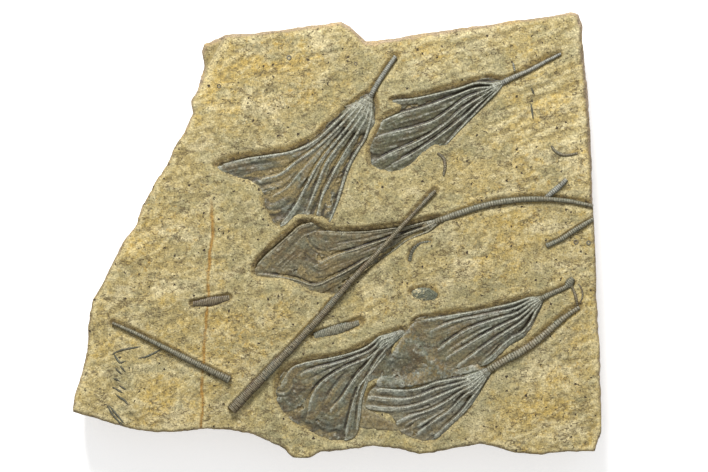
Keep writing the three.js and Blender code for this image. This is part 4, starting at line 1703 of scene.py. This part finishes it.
@dataclass(frozen=True)
class Stem:
    """A stem of ring-shaped plates.

    Args:
        name: Its CAD node.
        pitch: Thickness of a plate, mm.
        waist: Section at a joint, as a share of the full one.
        every: Every how many plates one is wider.
        collar: How much wider that one is.
        tilt: How far plates lean, radians.
        cleaned: How deep the ground beside it was cleaned, mm.
        reach: How far out it was cleaned, mm.
        tint: Its colour.
        seed: Picks the unevenness of its plates.
        swell: Breadth over that of the CAD solid.
        dip: How much lower it lies where it meets its cup, mm; None for a loose stem.
        taper: Breadth at its left and right ends, as shares.
    """

    name: str
    pitch: float = 1.15
    waist: float = 0.84
    every: int = 4
    collar: float = 0.05
    tilt: float = 0.03
    cleaned: float = 0.7
    reach: float = 3.2
    tint: Tint = Tint.BROWN
    seed: int = 1
    swell: float = 1.04
    dip: float | None = None
    taper: tuple[float, float] = (1.0, 1.0)

    def path(self) -> Array:
        """Path of the plates' middles, with their breadth and height."""
        cup = None
        if self.dip is not None:
            cup = CadSolid.of(self.name.replace("_stem", "_cup")).points[:, :2].mean(0)
        rows = route_of(self.name, cup)
        if cup is not None:
            ahead = (rows[0, :2] - rows[2, :2]) / np.hypot(*(rows[0, :2] - rows[2, :2]))
            inner = np.repeat(rows[:1], 3, 0)
            inner[:, :2] += np.array([[2.4], [1.6], [0.8]]) * ahead
            inner[:, 2:4] -= np.array([[0.9], [0.5], [0.2]])
            rows = np.vstack([inner, rows])
        patchiness = Grain(400 + self.seed, 11.0, 3).at(rows[:, :2])
        ends = np.sort(rows[[0, -1], 0])
        breadth = rows[:, 4] * self.swell * (1 + 0.07 * patchiness) * np.interp(rows[:, 0], ends, self.taper)
        height = rows[:, 3] - rows[:, 2]
        height = height / (1 + self.collar + 0.04)
        middle = (rows[:, 2] + rows[:, 3]) / 2
        if cup is not None:
            gap = np.hypot(*(rows[:, :2] - rows[0, :2]).T)
            middle -= self.dip * smooth_step(gap, 16.0, 1.0)
        return np.column_stack([rows[:, :2], middle, breadth, height])

    def footprint(self) -> Footprint:
        """The ground that the stem covers."""
        path = self.path()
        return Footprint(path[::3, :2], self.cleaned, self.reach, 0.5 * float(path[:, 3].mean()))

    def build(
        self,
        tree: PlateTree,
        plates: dict[float, Piece],
        finishes: dict[Tint, Material],
    ) -> None:
        """Makes the stem and keeps it."""
        if self.waist not in plates:
            plates[self.waist] = PlateShape.disc(waist=self.waist).build(f"plate_{int(100 * self.waist)}")
        piece = tree.lay(
            f"{self.name}_plates",
            self.path(),
            plates[self.waist],
            finishes[self.tint],
            Pitch=self.pitch * MM,
            Overlap=1.02,
            Tilt=self.tilt,
            Uneven=0.045,
            Every=self.every,
            Collar=self.collar,
            Seed=self.seed,
        )
        keep_piece(piece, "stem_calcite", self.name)


STEMS = (
    Stem("upper_left_stem", 1.1, 0.96, tint=Tint.GREY, seed=3, reach=4.5, cleaned=0.9, dip=0.2),
    Stem("upper_right_stem", 1.1, 0.96, tint=Tint.GREY, seed=4, reach=4.5, cleaned=0.8, dip=0.2),
    Stem("middle_stem", 1.4, 0.97, 9, 0.02, tint=Tint.DULL, seed=5, swell=0.96, dip=1.1),
    Stem("right_stem", 1.1, 0.96, tint=Tint.DULL, seed=6, reach=4.0, dip=0.2),
    Stem("lower_middle_stem", 1.5, 0.9, 3, 0.05, 0.05, tint=Tint.PALE, seed=7, dip=0.3),
    Stem("long_loose_stem", 1.0, 0.93, 5, 0.03, 0.07, 0.4, 2.2, seed=8, swell=1.1, taper=(1.14, 0.82)),
    Stem("left_loose_stem", 1.2, 0.94, 4, 0.04, 0.08, 0.5, 2.6, Tint.DULL, 9, 0.96, taper=(0.8, 1.1)),
    Stem("edge_loose_stem", 1.2, 0.93, seed=10, cleaned=0.3, reach=2.0, tint=Tint.DULL, taper=(1.1, 0.9)),
    Stem("curled_stem_tip", 1.2, 0.96, tint=Tint.DARK, seed=11, cleaned=0.8, reach=2.2, swell=1.35),
    Stem("flattened_stem_left", 1.0, 0.95, seed=12, cleaned=1.2, reach=2.6),
    Stem("flattened_stem_right", 1.0, 0.95, tint=Tint.DULL, seed=13, cleaned=1.2, reach=2.6),
)

CROWNS = (
    Crown(
        "upper_left",
        (9.5, 7.0, 9.5, 4.0, 3.2, 1.6),
        (Fold(2, 3, 0.42, (0.2, 0.98), 9.0, 1.6), Fold(3, 4, 0.5, (0.3, 0.9), 3.0, 1.3)),
        (4,),
        0.3,
        cup_spread=1.45,
        sandy=1.0,
        arm_share=0.78,
        arm_end=1.15,
        seed=1,
    ),
    Crown(
        "upper_right",
        (3.0, 11.0, 11.0, 8.0, 7.0, 1.6),
        (Fold(4, 5, 0.5, (0.15, 0.7), 3.0, 1.3),),
        bare_share=0.05,
        frayed=0.1,
        sandy=0.1,
        shade=Shade.DARK,
        seed=2,
    ),
    Crown(
        "middle",
        (14.0, 9.0, 5.0, 5.0, 15.0),
        (Fold(1, 2, 0.55, (0.25, 0.95), 4.0, 1.3), Fold(2, 3, 0.5, (0.25, 0.98), 4.0, 1.2)),
        bare_share=0.1,
        sink=1.3,
        sandy=0.8,
        arm_share=0.54,
        shade=Shade.BROWN,
        seed=3,
    ),
    Crown(
        "right",
        (8.0, 9.0, 9.0, 8.0, 5.0, 4.0),
        fill=(1, 2, 3, 4, 5),
        bare_share=-0.1,
        frayed=0.3,
        carve=0.8,
        arm_share=0.66,
        arm_end=0.9,
        seed=4,
    ),
    Crown(
        "lower_left",
        (8.0, 11.0, 9.0, 12.0, 10.0, 9.0),
        (Fold(2, 3, 0.4, (0.35, 0.95), 5.0, 1.2), Fold(3, 4, 0.55, (0.4, 0.9), 6.0, 1.3)),
        bare_share=-0.3,
        frayed=0.0,
        sandy=0.6,
        seed=5,
    ),
    Crown(
        "lower_middle",
        (9.0, 9.0, 8.0, 7.0, 6.0, 5.0),
        fill=(2, 3, 4),
        bare_share=0.0,
        frayed=0.3,
        sandy=0.4,
        carve=0.55,
        arm_share=0.66,
        shade=Shade.PALE,
        seed=6,
    ),
)


def shared_ground(right: Crown, left: Crown, lower: Crown) -> Footprint:
    """The cleaned ground that three neighbouring crowns share.

    Args:
        right: The crown at the upper right of it.
        left: The crown at its left.
        lower: The crown below it.

    Returns:
        The footprint of their triangle.
    """
    corners = np.array([left.cup[0, :2], right.arms[0][-1, :2], right.arms[-1][-1, :2], lower.cup[0, :2]])
    return Footprint(np.vstack([corners, lower.arms[0][-1:, :2]]), 0.9, 3.0, None, 0.3, 1.0)


def gap_between(left: Crown, lower: Crown) -> Array:
    """Outline of the gap between the tips of two neighbouring crowns.

    Args:
        left: The crown at its left.
        lower: The crown at its right.

    Returns:
        Corners in plan, anticlockwise.
    """
    side = left.arms[-1][:, :2]
    middle = len(side) // 2
    tips = [lower.arms[i][-1, :2] for i in (2, 3, 4)]
    return np.array([tips[0], side[middle], side[(middle + len(side)) // 2], side[-1], tips[2], tips[1]])


@dataclass(frozen=True)
class Shell:
    """The flat shell fragment, with growth lines."""

    node: str = "shell_fragment"

    def outline(self) -> Array:
        """Outline of the shell in plan."""
        return flowing(closed(CadSolid.of(self.node).top_outline()), 0.4)[:-1]

    def build(self, finish: Material) -> Piece:
        """Makes the shell."""
        outline = self.outline()
        centre = outline.mean(0)
        rings = np.linspace(1, 0.04, 22)
        ragged = 1 + 0.07 * Grain(91, 2.6, 3, 0.6).at(outline)[:, None]
        points, shine, sand = [], [], []
        for share in rings:
            ring = centre + (outline - centre) * share * ragged
            lines = 0.12 * np.cos(share * 34)
            dome = 0.9 * (1 - share**2.4) + lines * (share < 0.97)
            rough = 0.2 * Grain(90, 3.0, 3).at(ring)
            points.append(np.column_stack([ring, FACE_LEVEL - 0.55 + dome + rough * (1 - share**6)]))
            # painted highlight on the raised growth lines
            shine.append(np.full(len(ring), 0.25 * (lines > 0)))
            patchy = smooth_step(Grain(92, 1.4, 3, 0.7).at(ring), 0.0, 0.4)
            sand.append(patchy * smooth_step(centre[0] - ring[:, 0], -3.5, 2.0))
        base = points[0].copy()
        base[:, 2] = FACE_LEVEL - 2
        size = len(outline)
        at = np.arange(size)
        stack = [base, *points]
        faces: Faces = [list(range(size))[::-1]]
        for k in range(len(stack) - 1):
            faces += band(k * size + at, (k + 1) * size + at)
        faces.append(((len(stack) - 1) * size + at).tolist())
        crest, bare = (np.concatenate([np.zeros(size), *rows]) for rows in (shine, sand))
        marks = {Mark.CREST: crest, Mark.BARE: bare}
        return make_piece("shell_surface", np.vstack(stack), faces, finish, marks)


@dataclass(frozen=True)
class SmallFind:
    """A short thread of stem, or a sliver of one, that lies on the bedding plane.

    Args:
        name: The piece's name.
        threads: One or more lines in plan, mm from the slab's middle.
        breadth: Greatest breadth, mm.
        height: Thickness, mm.
        lift: Height of its middle above the ground, mm.
        pitch: Thickness of a plate, mm.
        tint: Its colour.
        ends: Breadth at the two ends, as a share.
    """

    name: str
    threads: tuple[tuple[tuple[float, float], ...], ...]
    breadth: float
    height: float
    lift: float = 0.2
    pitch: float = 0.9
    tint: Tint = Tint.BROWN
    ends: float = 0.7

    def build(self, tree: PlateTree, plate: Piece, slab: Slab, finish: Material) -> None:
        """Makes the find and keeps it."""
        joined: list[Piece] = []
        for i, thread in enumerate(self.threads):
            plan = flowing(np.array(thread), 0.5)
            ground = slab.relief(plan)[0]
            ground = np.convolve(np.pad(ground, 3, "edge"), np.ones(7) / 7, "valid")
            share = np.linspace(0, 1, len(plan))
            taper = self.ends + (1 - self.ends) * np.sin(math.pi * share) ** 0.6
            path = np.column_stack([plan, ground + self.lift, self.breadth * taper, self.height * taper])
            values = {"Overlap": 1.1, "Tilt": 0.06, "Uneven": 0.08, "Every": 5, "Collar": 0.0}
            values |= {"Pitch": self.pitch * MM, "Seed": 200 + i}
            joined.append(tree.lay(f"{self.name}_{i}", path, plate, finish, **values))
        piece = join_pieces(self.name, joined)
        keep_piece(piece, "stem_calcite")


ARM_PLATES = {"Pitch": 0.95 * MM, "Overlap": 1.25, "Tilt": 0.03, "Uneven": 0.04, "Every": 50, "Collar": 0.0}
FIND_WAIST = 0.9
KNOB = ((130.0, -28.2), (131.3, -26.8), (132.9, -24.8))
THIN_THREAD = ((132, -28), (133.8, -32), (135.0, -36.3), (135.6, -39.0))
FAINT_THREAD = ((136.5, -28.0), (138.2, -31.0), (138.6, -34.5), (137.4, -38))
CURL = ((121, 50), (123, 47.4), (126, 45.6), (130, 45), (135, 46))
STUB = ((118, 21), (121, 23.6), (125, 27), (129, 31))
HOOK = ((57, 46), (60, 43.4), (61, 39), (60.2, 34))
SPUR = ((99.3, 96.6), (100.1, 92.8))
FINDS = (
    SmallFind("stem_knob", (KNOB,), 4.8, 3.4, 0.6, 1.1, Tint.DULL),
    SmallFind("thin_stem_thread", (THIN_THREAD,), 1.8, 1.5, 0.3),
    SmallFind("faint_stem_thread", (FAINT_THREAD,), 1.2, 1.0, -0.1),
    SmallFind("upper_right_curl", (CURL,), 1.7, 1.4, 0.2),
    SmallFind("short_stub", (STUB,), 3.3, 2.4, 0.3, 1.1, Tint.GREY, 0.8),
    SmallFind("small_hook", (HOOK,), 2.0, 1.6, 0.1),
    SmallFind("spur", (SPUR,), 1.3, 1.0, 0.2, 0.9, Tint.GREY),
    SmallFind(
        "dark_slivers",
        (
            ((-126.9, -67.6), (-123.6, -65.7), (-117.5, -64.2), (-111.2, -63.2)),
            ((-112.1, -69.8), (-107, -68.5), (-99.6, -64.8)),
            ((-126.2, -67.1), (-122.8, -71.9), (-119.4, -71.3)),
            ((-125.3, -75.1), (-121.9, -78.5)),
            ((-126.2, -80.9), (-122.8, -82.6)),
            ((-126.9, -85.9), (-121.1, -89.2)),
            ((-122.6, -73.9), (-119.6, -77.2)),
            ((-122.9, -85.2), (-119.3, -87.4)),
            ((-124.8, -90.2), (-119.4, -94.3)),
            ((-121.2, -92.1), (-117.9, -96.0)),
            ((-130.2, -95.9), (-126.1, -102.4), (-121.1, -107.5)),
            ((-128.8, -96.4), (-124.6, -101.4), (-120.4, -106.4)),
            ((109.4, 83.2), (111.2, 79.2)),
            ((109.4, 74.0), (110.6, 65.5)),
        ),
        1.3,
        0.8,
        -0.05,
        0.8,
        Tint.DARK,
        0.35,
    ),
)


def join_pieces(name: str, parts: Sequence[Piece]) -> Piece:
    """Joins plain mesh objects into one named piece.

    Args:
        name: The piece's name.
        parts: The objects, all with the same material.

    Returns:
        The piece.
    """
    mesh = bmesh.new()
    for part in parts:
        mesh.from_mesh(part.data)
    first = parts[0]
    mesh.to_mesh(first.data)
    mesh.free()
    for part in parts[1:]:
        bpy.data.objects.remove(part)
    first.name = name
    first.data.name = name
    return first


@dataclass
class LooseSheet:
    """A smooth torn sheet of side branches between neighbouring crowns, with a seam at one side.

    Args:
        name: The piece's name.
        outline: Outline in plan.
        seam: Line of the seam before it is moved in from the edge.
        step: Width of a cell, mm.
        share: Size over that of the outline.
    """

    name: str
    outline: Array
    seam: Array
    step: float = 0.4
    share: float = 1.04

    def build(self, slab: Slab, finish: Material) -> None:
        """Makes the sheet and keeps it."""
        middle = self.outline.mean(0)
        outline = flowing(closed(middle + self.share * (self.outline - middle)), 0.8)[:-1]
        patch = Patch.cut_to(outline, self.step)
        off = trace(patch.plan, closed(outline)).off
        waves = Grain(301, 13.0, 3, 0.5, 2.5, 12.0).at(patch.plan)
        fine = Grain(302, 2.6, 3, 0.7).at(patch.plan)
        ground = patch.blurred(slab.relief(patch.plan)[0], 4)
        height = ground + 0.75 + 0.3 * waves + 0.16 * fine - 1.3 * (1 - smooth_step(off, 0.0, 2.6))
        # painted highlight and shade from the sheet's own relief
        marks = patch.cavity(height, 4, 0.4)
        gap = trace(patch.plan, middle + 0.9 * (self.seam - middle)).off + 0.8 * waves
        height -= 0.7 * np.exp(-((gap / 0.9) ** 2))
        marks[Mark.DEEP] = np.maximum(marks[Mark.DEEP], 0.9 * np.exp(-((gap / 0.75) ** 2)))
        marks[Mark.BARE] = 0.45 * smooth_step(waves + 0.5 * fine, 0.15, -0.35)
        marks[Mark.BARE] = np.maximum(marks[Mark.BARE], np.exp(-((gap / 2.6) ** 2)) - marks[Mark.DEEP])
        base = ground[patch.border] - 1.6
        keep_piece(patch.sheet(self.name, height, base, finish, marks), "pinnule_calcite")


@dataclass(frozen=True)
class StemRings:
    """Loose ring-shaped stem plates that lie flat on the bedding plane.

    Args:
        places: Middle in plan and diameter of each ring, mm.
        profile: Section of a ring: share of its radius, and height above the ground, mm.
        around: How many points go round a ring.
    """

    places: tuple[tuple[float, float, float], ...] = (
        (135.0, -4.0, 3.2),
        (142.0, -4.4, 2.8),
        (-27.0, 100.0, 3.0),
        (10.6, 96.6, 2.2),
        (-66.5, 84.0, 2.4),
    )
    profile: tuple[tuple[float, float], ...] = (
        (0.18, -0.6),
        (1.0, -0.6),
        (1.0, 0.1),
        (0.86, 0.3),
        (0.66, 0.26),
        (0.4, 0.02),
        (0.18, -0.1),
    )
    around: int = 20

    def build(self, slab: Slab, finish: Material) -> None:
        """Makes the rings as one piece."""
        turns = np.linspace(0, 2 * math.pi, self.around, endpoint=False)
        at = np.arange(self.around)
        points, faces, crest = [], [], []
        for x, y, size in self.places:
            ground = slab.relief(np.array([[x, y]]))[0][0]
            start = sum(len(p) for p in points)
            for radius, z in self.profile:
                ring = np.column_stack([np.cos(turns), np.sin(turns)]) * radius * size / 2 + (x, y)
                points.append(np.column_stack([ring, np.full(self.around, ground + z)]))
                # painted highlight on the ring's top
                crest.append(np.full(self.around, 1.0 if z > 0.2 else 0.0))
            for k in range(len(self.profile)):
                low = start + k * self.around + at
                high = start + (k + 1) % len(self.profile) * self.around + at
                faces += band(low, high)
        marks = {Mark.CREST: np.concatenate(crest)}
        keep_piece(make_piece("stem_rings", np.vstack(points), faces, finish, marks), "stem_calcite")


# ---- scene


@dataclass(frozen=True)
class Studio:
    """Pale floor, soft light from the far side and a camera above the slab."""

    width: float = 0.3995  # width of the view at the slab's face, m
    distance: float = 1.7
    aim: tuple[float, float, float] = (0.0096, -0.0006, 0.03)
    tilt: float = 1.5  # degrees towards +Y
    floor_half: float = 3000.0  # mm
    floor_level: float = -0.2  # mm

    def build(self) -> None:
        """Makes the floor, lights and camera."""
        scene = bpy.context.scene
        half, level = self.floor_half, self.floor_level
        corners = np.array([(x * half, y * half, level) for x, y in ((-1, -1), (1, -1), (1, 1), (-1, 1))])
        make_piece("floor", corners, [(0, 1, 2, 3)], self._paper())
        world = bpy.data.worlds.new("studio")
        world.use_nodes = True
        world.node_tree.nodes["Background"].inputs[0].default_value = (1.0, 1.0, 1.0, 1.0)
        world.node_tree.nodes["Background"].inputs[1].default_value = 0.5
        scene.world = world
        self._light("key", (-0.2, 1.15, 0.85), 0.45, 34.0)
        self._light("fill", (0.6, -0.8, 1.4), 1.2, 2.5)
        camera = bpy.data.objects.new("camera", bpy.data.cameras.new("camera"))
        lean = math.radians(self.tilt)
        aim = Vector(self.aim)
        camera.location = aim + Vector((0.0, math.sin(lean), math.cos(lean))) * self.distance
        camera.rotation_euler = (-lean, 0.0, 0.0)
        camera.data.sensor_width = 36.0
        camera.data.lens = 36.0 * self.distance / self.width
        camera.data.clip_end = 20.0
        scene.collection.objects.link(camera)
        scene.camera = camera
        scene.view_settings.view_transform = "Standard"

    @staticmethod
    def _paper() -> Material:
        """White paper for the floor."""
        material = bpy.data.materials.new("white_paper")
        material.use_nodes = True
        surface = material.node_tree.nodes["Principled BSDF"]
        surface.inputs["Base Color"].default_value = (0.93, 0.93, 0.93, 1.0)
        surface.inputs["Roughness"].default_value = 0.9
        surface.inputs["Emission Color"].default_value = (1.0, 1.0, 1.0, 1.0)
        surface.inputs["Emission Strength"].default_value = 0.4
        return material

    def _light(self, name: str, place: tuple[float, float, float], size: float, watts: float) -> None:
        """Adds an area light that faces the slab."""
        data = bpy.data.lights.new(name, "AREA")
        data.size = size
        data.energy = watts
        light = bpy.data.objects.new(name, data)
        light.location = place
        light.rotation_mode = "QUATERNION"
        light.rotation_quaternion = (Vector(self.aim) - Vector(place)).to_track_quat("-Z", "Y")
        bpy.context.scene.collection.objects.link(light)


def main() -> None:
    """Builds every piece in order."""
    logging.basicConfig(level=logging.INFO, format="%(name)s %(message)s")
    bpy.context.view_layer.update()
    groups = {"grain": stone_grain_group(), "tint": tint_group()}
    limestone = Limestone().make(groups)
    mat_finishes = {shade: finish.make(groups) for shade, finish in MAT_FINISHES.items()}
    arm_finishes = {shade: finish.make(groups) for shade, finish in ARM_FINISHES.items()}
    cup_finish = Calcite("cup_calcite", body="64614c").make(groups)
    stem_finishes = {tint: finish.make(groups) for tint, finish in STEM_FINISHES.items()}
    shell = Calcite("shell_calcite", body="4f5240", warm="494936", crest="74745c", bare="a39973")
    shell_finish = shell.make(groups)

    slab = Slab(footprints=[crown.footprint() for crown in CROWNS] + [stem.footprint() for stem in STEMS])
    common = shared_ground(CROWNS[3], CROWNS[4], CROWNS[5])
    slab.footprints += [common, Footprint(Shell().outline(), 0.7, 5.0, None, 1.4, 0.5)]
    keep_piece(slab.build(limestone), "limestone", "slab")

    tree = PlateTree()
    keel = PlateShape.keel().build("arm_plate")
    discs: dict[float, Piece] = {}
    for crown in CROWNS:
        keep_piece(crown.build_mat(mat_finishes[crown.shade]), "pinnule_calcite", f"{crown.name}_pinnules")
        keep_piece(crown.build_cup(cup_finish), "cup_calcite", f"{crown.name}_cup")
        for i in range(len(crown.arms)):
            node = f"{crown.name}_arm_{i + 1}"
            values = ARM_PLATES | {"Seed": 10 * crown.seed + i}
            finish = arm_finishes.get(crown.shade, arm_finishes[Shade.PLAIN])
            piece = tree.lay(f"{node}_plates", crown.arm_path(i), keel, finish, **values)
            keep_piece(piece, "arm_calcite", node)
    for stem in STEMS:
        stem.build(tree, discs, stem_finishes)
    keep_piece(Shell().build(shell_finish), "shell_calcite", "shell_fragment")
    small_disc = PlateShape.disc(12, FIND_WAIST).build("find_plate")
    for find in FINDS:
        find.build(tree, small_disc, slab, stem_finishes[find.tint])
    StemRings().build(slab, stem_finishes[Tint.BROWN])
    rusty = Calcite("rusty_pinnule_calcite", deep="38250f", bare="7d6636").make(groups)
    LooseSheet("loose_sheet", common.line, common.line[1:4]).build(slab, rusty)
    lower_gap = gap_between(CROWNS[4], CROWNS[5])
    LooseSheet("lower_loose_sheet", lower_gap, lower_gap[:2]).build(slab, mat_finishes[Shade.BROWN])
    for template in (keel, small_disc, *discs.values()):
        bpy.data.objects.remove(template)
    Studio().build()


if __name__ == "__main__":
    main()
